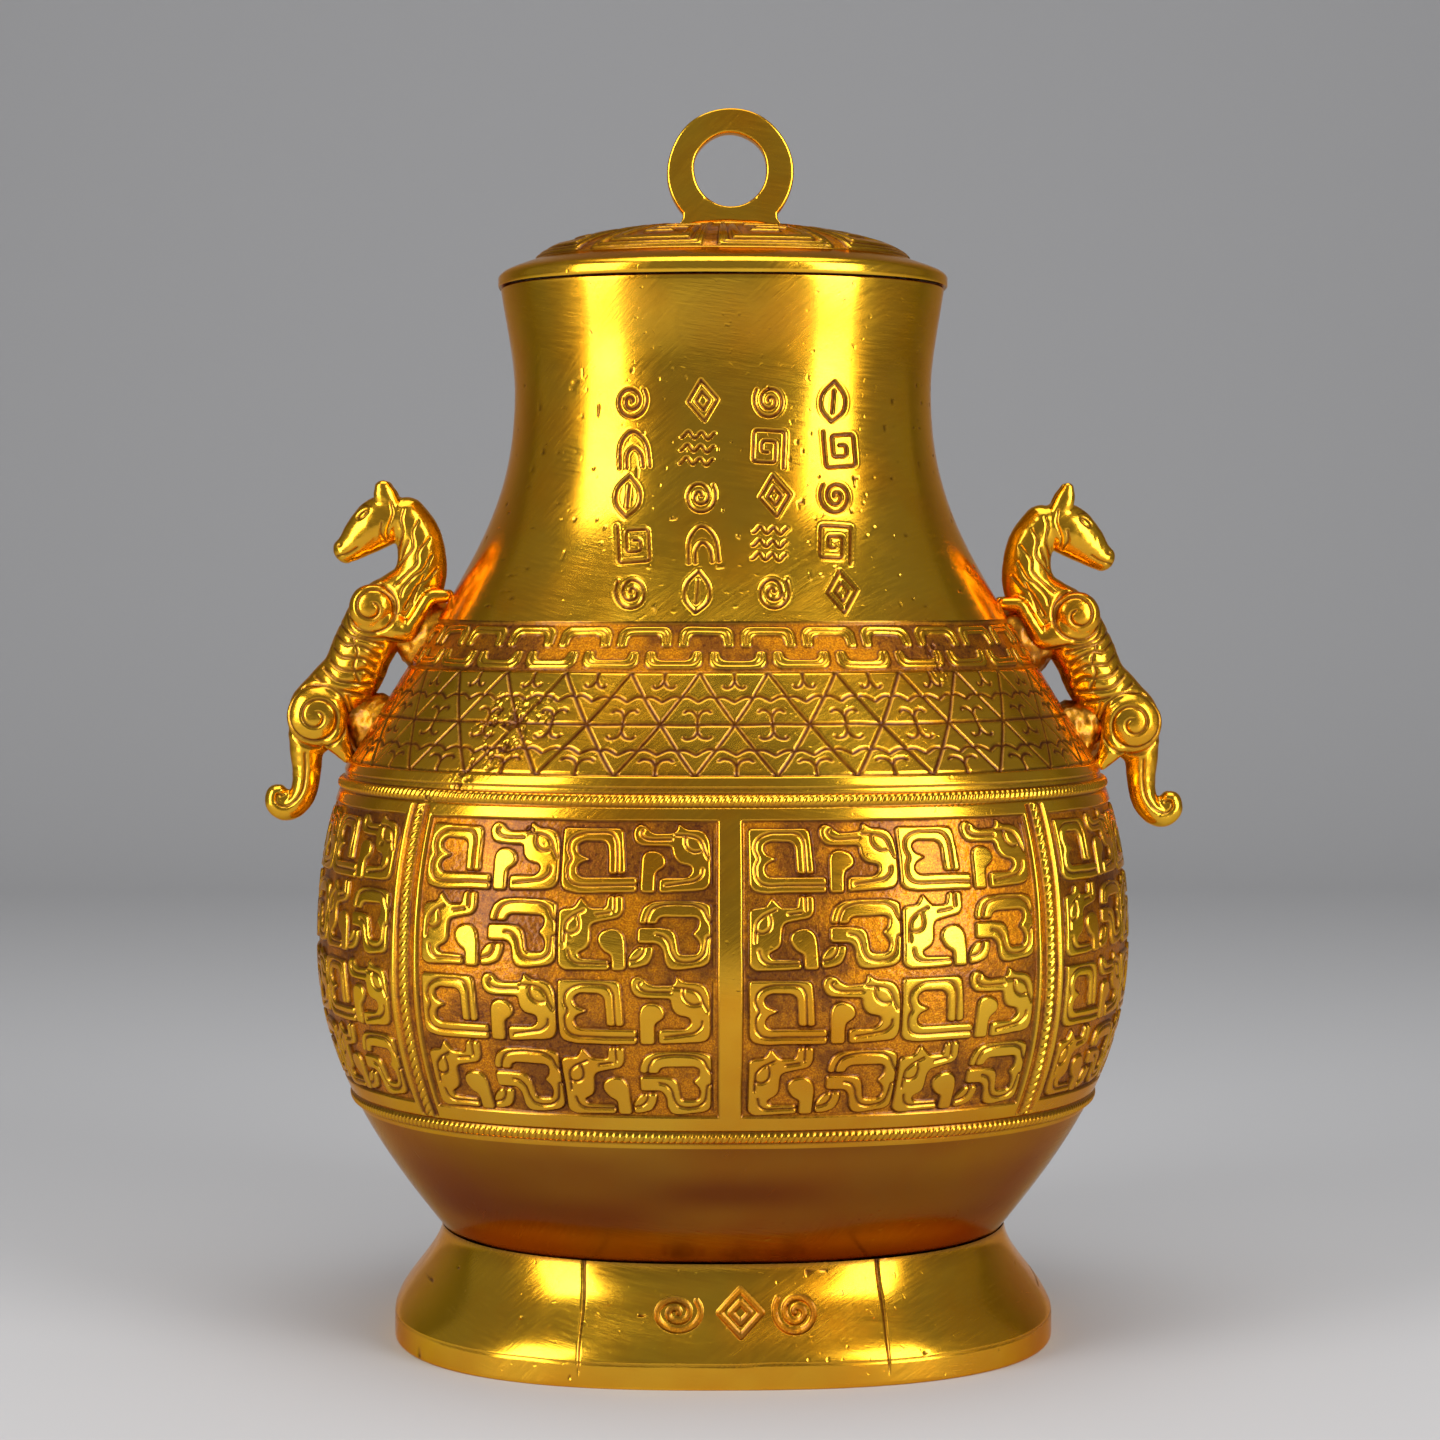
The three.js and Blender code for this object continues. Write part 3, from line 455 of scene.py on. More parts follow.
lattice = dict(
    count=31, phase=0.08, width=17.4, height=28.4, lineWidth=0.36, darkWidth=1.5,
    wave=0.75, waveShare=0.245, scallops=4, slowWave=0.5,
)


def latticeStamp():
    width, height = lattice["width"], lattice["height"]
    middle, half = height / 2, width / 2

    def sprig(x, y, way, reach=2.6, stem=2.6):
        # a stem that forks into two curled arms
        tip = y + way * stem
        drawn = [np.array([(x, y), (x, tip)], float)]
        for side in (-1, 1):
            arm = [(x, tip - way * 0.4), (x + side * 0.9, tip + way * 1.1),
                   (x + side * reach * 0.8, tip + way * 1.5), (x + side * reach, tip + way * 0.9)]
            drawn.append(roundedPath(arm, 0.9))
        return drawn

    paths = [np.array([(0, middle), (width, middle)])]
    for x in (0, width):
        for start, end in ((0, height), (height, 0)):
            paths.append(np.array([(x - half, start), (x + half, end)]))
        paths += sprig(x, 0.2, 1) + sprig(x, height - 0.4, -1, 3.6, 3.0)
    paths += sprig(half, middle, 1, 3.1, 2.5) + sprig(half, middle, -1, 3.1, 2.5)
    for share in (lattice["waveShare"], 1 - lattice["waveShare"]):
        x = np.linspace(-0.5, width + 0.5, 150)
        scallops = np.abs(np.sin(math.pi * x / (width / lattice["scallops"])))
        slow = lattice["slowWave"] * np.cos(2 * math.pi * x / width * 2)
        paths.append(np.stack([x, share * height + 0.5 - lattice["wave"] * scallops + slow], -1))
    x, y = stampGrid(width, height)
    away = np.full(x.shape, farAway)
    for path in paths:
        away = np.minimum(away, pathDistance(x, y, path))
    level = 1 - bump(away, lattice["lineWidth"])
    line = bump(away, lattice["lineWidth"] * lattice["darkWidth"])
    return dict(width=width, height=height, level=level, line=line)


bracketTile = bracketStamp()
latticeTile = latticeStamp()
print("shoulder stamps drawn")

casting = dict(
    fieldDepth=0.85, centreBand=2.8, cornerMargin=4.5, panelMargin=1.4,
    fieldBottom=67.9, fieldTop=138.3,
    lowerRope=62.6, upperRope=143.0, ropeHalf=1.35, ropeRise=0.95, ropePitch=1.7, ropeSlant=0.45,
    stripBottom=145.6, stripRise=0.55,
    cornerRopeHalf=1.45, cornerRopePitch=2.05, cornerRopeRise=1.15, cornerSlant=0.85,
    cornerLine=3.5, cornerLineRise=0.55, cornerLineWidth=0.34,
    channelReach=4,  # it passes the fields' ends by this
    bandDepth=0.55, bracketDepth=0.6, latticeDepth=0.38, lineDepth=0.3,
    grainHeight=0.07, shadeFrom=104,  # painted shade: the belly darkens from this height down
)

# Where the casting came out rough: distance from the middle of the front, height, size in mm, how rough
flaws = [(-66, 157, 11, 0.75), (-74, 149, 6, 0.8), (-56, 163, 6, 0.6), (-83, 141, 5, 0.7),
         (-50, 135.5, 2.6, 0.9), (-95, 128, 5, 0.45), (71, 176, 8, 0.5), (-40, 110, 4, 0.3)]


def twistedRope(across, along, half, rise, pitch, slant):
    # a half round of strands that lie aslant, each round in itself
    body = np.sqrt(np.clip(1 - (across / half) ** 2, 0, 1))
    turn = (along + slant * across) / pitch
    fromMiddle = np.abs(turn - np.round(turn)) * 2  # 0 on a strand, 1 between two
    strand = 0.25 + 0.75 * np.sqrt(np.clip(1 - fromMiddle ** 2.5, 0, 1))
    return rise * body * strand, ramp(fromMiddle, 0.72, 1.0) * ramp(body, 0, 0.4)


def roughness(arc, height):
    rough = np.zeros(arc.shape)
    edge = 1 + 0.35 * softNoise(arc, height, 5, 27, roundArc)
    for place, level, size, share in flaws:
        away = np.hypot(arc - 3 * quarterArc - place, height - level) * edge
        rough = np.maximum(rough, share * ramp(size - away, 0, 0.7 * size))
    return rough


def cratered(arc, run, height, rough, seed):
    # pits with raised lips, only where the casting is rough
    value = softNoise(arc, run, 1.7, seed, roundArc) + 0.6 * softNoise(arc, run, 0.8, seed + 1, roundArc)
    pit = rough * ramp(value, 0.25, 0.6)
    lip = rough * bump(value - 0.18, 0.16)
    return height * (1 - 0.35 * rough) - 0.5 * pit + 0.1 * lip, np.clip(pit * 1.5, 0, 1)


def castGrain(arc, run, seed):
    # the fine grain that the mould left in sunk ground
    coarser, finer = softNoise(arc, run, 0.9, seed, roundArc), softNoise(arc, run, 0.45, seed + 1, roundArc)
    return coarser * 0.5 + finer * 0.5


def bellyField(arc, run, away, toCorner, side, width):
    # a sunk field with the stamp twice across it and twice up it: height, ground and dark line
    c = casting
    bottom, top = runAt(c["fieldBottom"]), runAt(c["fieldTop"])
    wobble = 0.12 * softNoise(arc, run, 9, 21, roundArc)
    inField = np.minimum(np.minimum(away - c["centreBand"], toCorner - c["cornerMargin"]),
                         np.minimum(run - bottom, top - run)) + wobble
    field = ramp(inField, -0.15, 0.3)
    fromLeft = (away - c["centreBand"]) if side > 0 else (toCorner - c["cornerMargin"])
    margin = c["panelMargin"]
    repeat = (width - 2 * margin) / 2
    wobbleX, wobbleY = (0.15 * softNoise(arc, run, 6, seed, roundArc) for seed in (22, 23))
    x = (fromLeft - margin) / repeat * panelMotif["width"] + wobbleX
    y = (top - run) / (top - bottom) * 2 * panelMotif["height"] + wobbleY
    level, line = readStamp(panelStamp, x, np.mod(y, panelMotif["height"]))
    within = ramp(fromLeft, margin - 0.5, margin) * ramp(width - fromLeft, margin - 0.5, margin)
    level, line = level * within, line * within
    ground = field * (1 - level)
    height = c["grainHeight"] * castGrain(arc, run, 24) * ground - c["fieldDepth"] * ground
    # painted shade: a dark line where the sunk field meets its border
    edge = bump(inField - 0.12, 0.28) * (1 - 0.6 * level)
    return height, ground, np.maximum(line * field, 0.8 * edge)


def cornerRope(run, toCorner, side, height, ground, dark):
    # a channel down the corner with its rope and two thin lines
    c = casting
    low, high = runAt(c["fieldBottom"]) - c["channelReach"], runAt(c["fieldTop"]) + c["channelReach"] + 0.5
    channel = ramp(c["cornerMargin"] - 0.7 - toCorner, 0, 0.4) * between(run, low, high, 0.5, 0.5)
    thin = bump(toCorner - c["cornerLine"], c["cornerLineWidth"])
    rope, cut = twistedRope(toCorner * side, run, c["cornerRopeHalf"], c["cornerRopeRise"],
                            c["cornerRopePitch"], c["cornerSlant"])
    inside = toCorner < c["cornerRopeHalf"]
    # painted shade: a dark line beside the rope
    beside = bump(toCorner - c["cornerRopeHalf"] - 0.2, 0.3)
    height = height + channel * (rope + c["cornerLineRise"] * thin - c["bandDepth"])
    ground = np.maximum(ground, channel * (1 - thin) * (1 - inside))
    dark = np.maximum(dark, channel * np.maximum(0.85 * cut * inside, 0.75 * beside))
    return height, ground, dark


def roundRope(arc, run, level, height, ground, dark):
    # a rope that goes round the belly between two cut lines
    c = casting
    across = run - runAt(level)
    fromMiddle = np.abs(across)
    rope, cut = twistedRope(across, arc, c["ropeHalf"], c["ropeRise"], c["ropePitch"], -c["ropeSlant"])
    trench = bump(fromMiddle - c["ropeHalf"] - 0.25, 0.32)
    cleared = fromMiddle < c["ropeHalf"] + 1.2
    height = np.where(cleared, 0, height) + (rope - 0.35 * trench)
    ground = np.where(cleared, 0.25 * trench, ground)
    dark = np.where(fromMiddle < c["ropeHalf"] + 1.0, 0, dark)
    dark = np.maximum(dark, np.maximum(0.7 * cut * (fromMiddle < c["ropeHalf"]), 0.9 * trench))
    return height, ground, dark


def bellyRelief(arcs, runs, faceCentre, halfArc):
    c = casting
    arc, run = np.meshgrid(arcs, runs)
    z = np.interp(run, outlineRun, outline[:, 1])
    away = np.abs(arc - faceCentre)
    side = 1 if arcs.mean() > faceCentre else -1
    toCorner = halfArc - away
    width = halfArc - c["centreBand"] - c["cornerMargin"]
    layers = bellyField(arc, run, away, toCorner, side, width)
    layers = cornerRope(run, toCorner, side, *layers)
    for level in (c["lowerRope"], c["upperRope"]):
        layers = roundRope(arc, run, level, *layers)
    height, ground, dark = layers
    # the plain strip under the shoulder
    height = height + c["stripRise"] * between(z, c["stripBottom"], vessel["shoulder"][1], 0.35, 0.3)
    dark = np.maximum(dark, 0.8 * bump(z - c["stripBottom"], 0.25))
    height, pitted = cratered(arc, run, height, roughness(arc, z), 28)
    fade = between(run, runs[0], runs[-1], 0.6, 0.3)
    # painted shade: the belly darkens towards the bottom
    tone = 0.3 * ramp(c["shadeFrom"] - z, 0, 40)
    return height * fade, reliefColours(ground, np.maximum(dark, pitted), tone)


def shoulderRelief(arcs, runs):
    c = casting
    arc, run = np.meshgrid(arcs, runs)
    z = np.interp(run, outlineRun, outline[:, 1])
    fromTop = runs[-1] - run
    share = (arc - 3 * quarterArc) / roundArc
    wobbleX = 0.16 * softNoise(arc, run, 7, 31, roundArc)
    wobbleY = 0.18 * softNoise(arc, run, 8, 32, roundArc)
    bandEdge = brackets["height"]
    # the brackets, raised from a sunk band
    bracketX = (share * brackets["count"] - brackets["phase"] + 0.5) * bracketTile["width"] + wobbleX
    level, line = readStamp(bracketTile, bracketX, fromTop + wobbleY)
    band = ramp(fromTop, 0.3, 0.7) * ramp(bandEdge - fromTop, 0, 0.5)
    ground = band * (1 - level)
    height = (0.05 * castGrain(arc, run, 33) - c["bracketDepth"]) * ground
    dark = np.maximum(line * band * 0.85, bump(fromTop - 0.3, 0.3))
    # the lattice, cut into the wall under them
    latticeX = (share * lattice["count"] - lattice["phase"]) * latticeTile["width"] + wobbleX
    latticeY = (fromTop - bandEdge) / (runs[-1] - runs[0] - bandEdge) * latticeTile["height"] + wobbleY
    level, line = readStamp(latticeTile, latticeX, np.clip(latticeY, 0, latticeTile["height"]))
    below = fromTop > bandEdge
    height = height - below * c["latticeDepth"] * (1 - level)
    dark = np.where(below, line, dark)
    ground = np.where(below, 0.9 * line, ground)
    lines = np.maximum(bump(fromTop - bandEdge, 0.3), bump(run - runs[0] - 0.5, 0.3))
    height = height - c["lineDepth"] * lines
    height, pitted = cratered(arc, run, height, roughness(arc, z), 35)
    dark = np.maximum(np.maximum(dark, lines), pitted)
    fade = between(run, runs[0], runs[-1], 0.4, 0.25)
    return height * fade, reliefColours(ground, dark, 0 * z)


def dressWall(name, arcs, runs, relief):
    height, colours = relief
    return sheetPiece(name, pushedSheet(arcs, runs, height), colours)


vesselPieces = []
wallCell = 0.3  # mm between the points of a carved wall
bellyRuns = steps(runAt(vessel["bellyBase"]), runAt(vessel["shoulder"][1]), wallCell)
for face, faceName in enumerate(("right", "back", "left", "front")):
    centre = face * quarterArc
    halfArc = cornerArc if face % 2 == 0 else quarterArc - cornerArc
    for sideName, low, high in (("a", centre - halfArc, centre), ("b", centre, centre + halfArc)):
        arcs = steps(low, high, wallCell)
        relief = bellyRelief(arcs, bellyRuns, centre, halfArc)
        vesselPieces.append(dressWall("belly_" + faceName + "_" + sideName, arcs, bellyRuns, relief))
print("belly panels made")

shoulderRuns = steps(runAt(vessel["shoulder"][1]), runAt(vessel["neckBase"][1]), wallCell)
for quarter in range(4):
    arcs = steps(quarter * quarterArc, (quarter + 1) * quarterArc, 1.1 * wallCell)
    relief = shoulderRelief(arcs, shoulderRuns)
    vesselPieces.append(dressWall("shoulder_" + str(quarter + 1), arcs, shoulderRuns, relief))
print("shoulder bands made")


# Neck: plain and scraped, with four columns of small cut ornaments on the front and a rounded lip

neckMarks = dict(
    columns=(-23.5, -6.6, 11.0, 27.2), top=238.6, pitch=11.7, count=5, halfWidth=4.1, halfHeight=4.6,
    stroke=0.2, wall=0.36, depth=0.5, sway=0.8, turn=0.09,
    halfArc=74, fineTop=247, pitDepth=0.25,
    # where the gilding left a tide mark: across, height, half width, half height
    tide=(2.5, 257.5, 15.5, 9.5), tideTone=0.16,
    rowCell=0.29, frontCell=0.56, restCell=1.6,
)


def cutMotifs():
    # plain scrolls, frets, lozenges, arches, leaves and waves, each about 2 wide and 2 high
    turn = np.linspace(0, 1, 60)[:, None]
    angle = 4.2 * math.pi * turn
    curl = np.hstack([np.cos(angle), np.sin(angle)]) * (0.1 + 0.9 * turn)
    fret = roundedPath([(-0.9, 1.0), (-0.9, -0.95), (0.95, -0.95), (0.95, 0.75), (-0.4, 0.75), (-0.4, -0.4),
                        (0.45, -0.4), (0.45, 0.2), (0.05, 0.2)], 0.2)
    lozenge = np.array([(0, -1.1), (0.9, 0), (0, 1.1), (-0.9, 0), (0, -1.1)])
    arch = roundedPath([(-0.9, -1.0), (-0.85, 0.35), (0, 1.1), (0.85, 0.35), (0.9, -1.0)], 0.6)
    leaf = [roundedPath([(0, -1.1), (0.75 * side, -0.5), (0.75 * side, 0.4), (0, 1.1)], 0.7)
            for side in (-1, 1)]
    vein = np.array([(0, -0.6), (0, 0.6)])
    waveX = np.linspace(-1, 1, 40)
    waves = [np.stack([waveX, 0.17 * np.sin(2.5 * math.pi * waveX) + level], -1) for level in (-0.7, 0, 0.7)]
    return dict(curl=[curl], fret=[fret], lozenges=[lozenge, 0.45 * lozenge],
                arches=[arch, 0.55 * arch - (0, 0.45)], turnedCurl=[curl * (-1, 1)], waves=waves,
                leaf=leaf + [vein], turnedFret=[-fret])


def neckOrnaments():
    marks = []
    kinds = list(cutMotifs().values())
    n = neckMarks
    for column, x in enumerate(n["columns"]):
        for row in range(n["count"]):
            chance = math.sin(2.3 * row + 1.7 * column)
            middle = (x + n["sway"] * chance, n["top"] - row * n["pitch"])
            cosine, sine = math.cos(n["turn"] * chance), math.sin(n["turn"] * chance)
            for path in kinds[(3 * row + 2 * column) % len(kinds)]:
                drawn = path * (n["halfWidth"], n["halfHeight"])
                marks.append(drawn @ np.array([(cosine, sine), (-sine, cosine)]) + middle)
    return marks


def lineDistance(x, y, lines, where=True):
    # how far each point is from the nearest of the lines, looked for only within 2 mm of each
    away = np.full(x.shape, farAway)
    for path in lines:
        low, high = path.min(0) - 2, path.max(0) + 2
        near = (x > low[0]) & (x < high[0]) & (y > low[1]) & (y < high[1]) & where
        if near.any():
            away[near] = np.minimum(away[near], pathDistance(x[near], y[near], path))
    return away


def markDistance(sheet, marks):
    # how far each point of the front is from the nearest cut line, mm
    x, z = sheet[..., 0], sheet[..., 2]
    return lineDistance(x, z, marks, sheet[..., 1] < 0)


def neckTide(sheet):
    x, z = sheet[..., 0], sheet[..., 2]
    across, level, halfAcross, halfHigh = neckMarks["tide"]
    away = np.hypot((x - across) / halfAcross, (z - level) / halfHigh) + 0.12 * softNoise(x, z, 5, 47)
    tide = neckMarks["tideTone"] * ramp(1 - away, 0, 0.2) + neckMarks["tideTone"] * bump(away - 1, 0.06)
    return tide * (sheet[..., 1] < 0)


def neckSheet(name, arcs, runs, marks):
    n = neckMarks
    sheet = wallSheet(arcs, runs)
    away = markDistance(sheet, marks)
    cut = 1 - ramp(away, n["stroke"], n["stroke"] + n["wall"])
    arc, run = np.meshgrid(arcs, runs)
    pits = ramp(softNoise(arc, run, 2.2, 45, roundArc), 0.84, 0.97)
    lip = 0.08 * bump(away - n["stroke"] - n["wall"] - 0.15, 0.25)  # metal that the graver has pushed up
    height = (lip - n["depth"] * cut - n["pitDepth"] * pits) * ramp(run - runs[0], 0, 0.4)
    colours = reliefColours(0.5 * cut, np.maximum(0.95 * cut, 0.9 * pits), neckTide(sheet))
    return sheetPiece(name, pushedSheet(arcs, runs, height), colours)


def neckInside():
    # the top of the neck, its lip, the inside of the neck and belly, and the floor
    wall, floorTop = vessel["wall"], vessel["floorTop"]
    mouthX, mouthZ = vessel["mouth"]
    arcs = steps(0, roundArc, neckMarks["restCell"])
    runs = steps(runAt(neckMarks["fineTop"]), runAt(mouthZ - 0.5), 0.9)
    outside = pushedSheet(arcs, runs, np.zeros((len(runs), len(arcs))))
    lip = [(mouthX - 0.1, mouthZ - 0.25), (mouthX - 0.5, mouthZ), (mouthX - wall / 2, mouthZ + 0.02),
           (mouthX - wall + 0.5, mouthZ), (mouthX - wall, mouthZ - 0.5)]
    insideRuns = np.linspace(runAt(mouthZ - 2.0), runAt(floorTop), 70)
    x, z = outlineAt(insideRuns)
    inside = list(zip(x - wall - 0.2, z))
    floorShares = (0.97, 0.9, 0.75, 0.5, 0.25, 0.02)
    floor = [(share * (x[-1] - wall), floorTop - 2.5 * (1 - share ** 2)) for share in floorShares]
    hidden = profileSheet(lip + inside + floor, arcs)
    tone = np.zeros(hidden.shape[:2])
    tone[8:] = 1.0  # the inside is darker below the lip
    plain = np.zeros(outside.shape[:2])
    colours = np.concatenate([reliefColours(plain, plain, neckTide(outside)),
                              reliefColours(0 * tone, 0.15 * tone, tone)])
    return sheetPiece("neck_top_and_inside", np.concatenate([outside, hidden]), colours)


lowerBelly = dict(
    # tone and topTone give the lower belly painted shade, deeper towards the bottom
    arcCell=1.1, rowCell=0.9, tone=0.82, topTone=0.1, streakTone=0.10,
    paleBand=(34.5, 2.6, 0.14),  # height, half height and how much paler, just over the waist
)


def lowerBellyPiece():
    # the plain wall under the fields, and the domed floor under it that the foot hides
    b = lowerBelly
    waistX, waistZ = vessel["waist"]
    arcs = steps(0, roundArc, b["arcCell"])
    runs = steps(0.0, runAt(vessel["bellyBase"]), b["rowCell"])
    sheet = pushedSheet(arcs, runs, np.zeros((len(runs), len(arcs))))
    z = sheet[..., 2]
    arc, run = np.meshgrid(arcs, runs)
    streak = b["streakTone"] * softNoise(arc, run * 5, 40, 48, roundArc)  # brown streaks that run round
    bandZ, bandHalf, paler = b["paleBand"]
    # painted shade: the lower belly is given a dark tone, deeper below 60 mm
    tone = b["tone"] + b["topTone"] * ramp(60 - z, 0, 14) - paler * bump(z - bandZ, bandHalf) + streak
    # painted shade: a dark line in the crease at the waist, over the foot
    relief = reliefColours(0 * z, 0.8 * bump(z - waistZ, 0.8), tone)
    angles = np.linspace(0.02, math.pi / 2, 12)
    under = [(vessel["spigot"] * math.sin(a), waistZ - vessel["floorDip"] * math.cos(a)) for a in angles]
    under.append((waistX - 0.3, waistZ - 0.02))
    extra = profileSheet(under, arcs)
    colours = np.concatenate([plainColours(extra.shape[:2], 0.3, 1.0), relief])
    return sheetPiece("lower_belly", np.concatenate([extra, sheet]), colours)


frontArc = 3 * quarterArc
neckRuns = steps(runAt(vessel["neckBase"][1]), runAt(neckMarks["fineTop"]), neckMarks["rowCell"])


def frontAndRest(reach, frontCell, restCell):
    # columns for a fine front, and for the rest of the way round
    return (steps(frontArc - reach, frontArc + reach, frontCell),
            steps(frontArc + reach, frontArc - reach + roundArc, restCell))


frontArcs, restArcs = frontAndRest(neckMarks["halfArc"], neckMarks["frontCell"], neckMarks["restCell"])
vesselPieces += [
    neckSheet("neck_front", frontArcs, neckRuns, neckOrnaments()),
    neckSheet("neck_sides_and_back", restArcs, neckRuns, []),
    neckInside(), lowerBellyPiece(),
]
print("neck and lower belly made")


# Foot: a flared ring with the seams of its mould, brazed under the waist

foot = dict(
    halfWidth=85.6, band=6.4, wall=4.0, lip=6.0, slope=2.0, gap=0.3,
    # mould seams: place across, and its lean from 0, upright, to 1, down the flare
    seams=((-35.6, 0.17), (38.2, 0.28)), seamWidth=0.4, seamDepth=0.34, lineHeight=6.2, lineDepth=0.2,
    # ornaments on the front: kind, place across, half width, half height
    marks=[("curl", -12.6, 6.2, 4.3), ("lozenges", 3.0, 5.8, 4.6), ("turnedCurl", 16.6, 5.6, 4.9)],
    markHeight=17.4, stroke=0.42, markWall=0.3, markDepth=0.4, pitDepth=0.25, unevenness=0.16,
    frontReach=57, frontCell=0.2, restCell=0.62, flareRows=87, bandRows=14,
)


def footSection(height):
    share = np.clip(height / vessel["waist"][1], 0, 1)
    return vessel["footPower"] * (1 - share) + vessel["bodyPower"] * share


def footSheet(profile, arcs):
    out = []
    for x, z in profile:
        ux, uy = sectionAt(arcs, float(footSection(z)))
        out.append(np.stack([x * ux, x * uy, np.full(len(arcs), z)], -1))
    return np.array(out)


def footProfile():
    # up the outside from the lip under the band, and down the inside
    band, slope = foot["band"], foot["slope"]
    top = vessel["waist"][1] - foot["gap"]
    rise = top - band
    half, waist = foot["halfWidth"], vessel["waist"][0]
    innerTop, innerBase = waist - foot["wall"], half - foot["lip"]
    flare = bezier((half, band), (half - slope, band + 0.26 * rise), (waist, top - 0.38 * rise), (waist, top),
                   int(foot["flareRows"] / coarse))
    inner = bezier((innerTop, top), (innerTop, top / 2), (innerBase - slope / 2, top / 2),
                   (innerBase, 0.4), 20)
    bandHeights = np.linspace(0.8, band, int(foot["bandRows"] / coarse) + 2)[:-1]
    outer = [(half - 0.35, 0.0), (half - 0.06, 0.35)] + [(half, z) for z in bandHeights] + list(flare)
    return [(innerBase + 0.4, 0.0)] + outer, list(inner)


def footMarks():
    kinds = cutMotifs()
    marks = []
    for kind, place, halfWidth, halfHeight in foot["marks"]:
        marks += [path * (halfWidth, halfHeight) + (place, foot["markHeight"]) for path in kinds[kind]]
    return marks


def footShell(name, profile, arcs, marks):
    normals = sheetNormals(footSheet(profile, widened(arcs)))[:, 1:-1]
    sheet = footSheet(profile, arcs)
    x, z = sheet[..., 0], sheet[..., 2]
    outer = ramp(np.arange(len(profile)), 1, 3)[:, None] * np.ones(len(arcs))
    seam = np.zeros(x.shape)
    flareX = np.repeat(x[len(profile) // 2][None], len(profile), 0)  # where each column is half way up
    for place, lean in foot["seams"]:
        across = x * (1 - lean) + flareX * lean
        narrowing = foot["seamWidth"] * (0.6 + 0.4 * ramp(z, 4, 24))
        seam = np.maximum(seam, bump((across - place - 0.25 * softNoise(z, 0 * z, 9, 41)) / narrowing, 1))
    seam *= ramp(z, 2, 6)
    line = bump(z - foot["lineHeight"] - 0.25 * softNoise(x, z, 12, 42), 0.22)
    away = markDistance(sheet, marks)
    cut = 1 - ramp(away, foot["stroke"], foot["stroke"] + foot["markWall"])
    cutEdge = bump(away - foot["stroke"] - 0.22, 0.2)
    arc = np.repeat(arcs[None], len(profile), 0)
    slow = foot["unevenness"] * softNoise(arc, z, 26, 43, roundArc)
    pits = ramp(softNoise(x, z, 2.4, 46), 0.88, 0.98)
    sunk = foot["seamDepth"] * seam + foot["lineDepth"] * line + foot["markDepth"] * cut
    sunk = sunk + foot["pitDepth"] * pits
    height = outer * (slow - sunk)
    groove = outer * np.maximum(np.maximum(0.95 * seam, 0.6 * line), np.maximum(0.75 * cutEdge, 0.9 * pits))
    top = profile[-1][1]
    # painted shade: the top of the flare under the waist is darker, with a dark line at its very top; the
    # upright band is a little darker too
    tone = outer * (0.28 * ramp(z - 22, 0, 6) + 0.12 * ramp(foot["band"] - z, 0, 0.5))
    relief = reliefColours(outer * cut * 0.8, groove + 0.7 * bump(z - top, 0.9), tone)
    return sheetPiece(name, sheet + normals * height[..., None], relief)


def footInside(outerProfile, innerProfile):
    arcs = steps(0, roundArc, 3)
    sheet = footSheet([outerProfile[-1]] + innerProfile + [outerProfile[0]], arcs)
    return sheetPiece("foot_inside", sheet, plainColours(sheet.shape[:2], 0.285, 0.95))


outerProfile, innerProfile = footProfile()
footFront, footRest = frontAndRest(foot["frontReach"], foot["frontCell"], foot["restCell"])
footPieces = [footShell("foot_front", outerProfile, footFront, footMarks()),
              footShell("foot_sides_and_back", outerProfile, footRest, []),
              footInside(outerProfile, innerProfile)]
print("foot made")


# Lid: a shallow dome with a ring of square scrolls, a sloping rim, and a flat ring to lift it by

lid = dict(
    base=269.9, halfWidth=58.2, rim=2.7, shoulder=(48.9, 6.8), domeRise=16.5, wall=3.0, seat=10.4,
    scrolls=8, phase=0.117, scrollOuter=48.7, scrollLength=32.0, placeWidth=30.6, gap=3.6, frameWidth=2.2,
    groundDepth=0.35, relief=0.62, grainHeight=0.05, unevenness=0.08, arcCell=1.2, rowCell=0.3, plainCell=2,
    collarWall=2.5, collarEase=0.6,
)


def lidDome():
    # half widths and heights from the shoulder to the top, and the way run along them
    (shoulderX, shoulderZ), rise = lid["shoulder"], lid["domeRise"]
    dome = bezier((shoulderX, shoulderZ), (0.94 * shoulderX, 0.72 * rise), (0.5 * shoulderX, rise),
                  (0.35, rise), 600)
    return dome, np.concatenate([[0], np.cumsum(np.hypot(*np.diff(dome, axis=0).T))])


domeLine, domeRun = lidDome()


def runOnDome(halfWidth):
    return np.interp(-np.asarray(halfWidth), -domeLine[:, 0], domeRun)


def scrollStamp():
    # a double frame open towards the ring, with a square scroll in it; x goes round the lid, y inwards
    width, height = lid["placeWidth"], lid["scrollLength"]
    low, high, w = lid["gap"] / 2, width - lid["gap"] / 2, lid["frameWidth"]
    top, bottom = 0.2, height - 1.2
    outerFrame = [(low, top), (high, top), (high, bottom), (high - w, bottom), (high - w, top + w),
                  (low + w, top + w), (low + w, bottom), (low, bottom)]
    a, b = low + w + 1.1, high - w - 1.1
    scroll = [(a, 3.6), (b, 3.6), (b, 17.7), (a + 5.5, 17.7), (a + 5.5, 10.3), (b - 6.0, 10.3),
              (b - 6.0, 13.0), (a + 8.0, 13.0), (a + 8.0, 15.1), (b - 2.4, 15.1), (b - 2.4, 6.4),
              (a + 2.4, 6.4), (a + 2.4, 20.0), (a, 20.0)]
    bar = [(a + 5.5, 21.0), (b, 21.0), (b, 23.6), (a + 5.5, 23.6)]
    paths = [roundedPath(path, 0.9, True) for path in (outerFrame, scroll, bar)]
    left, right = low + w / 2, high - w / 2
    line = [(left, height - 1.8), (left, top + w / 2), (right, top + w / 2), (right, height - 1.8)]
    return makeStamp(width, height, paths, [roundedPath(line, 1.4)])


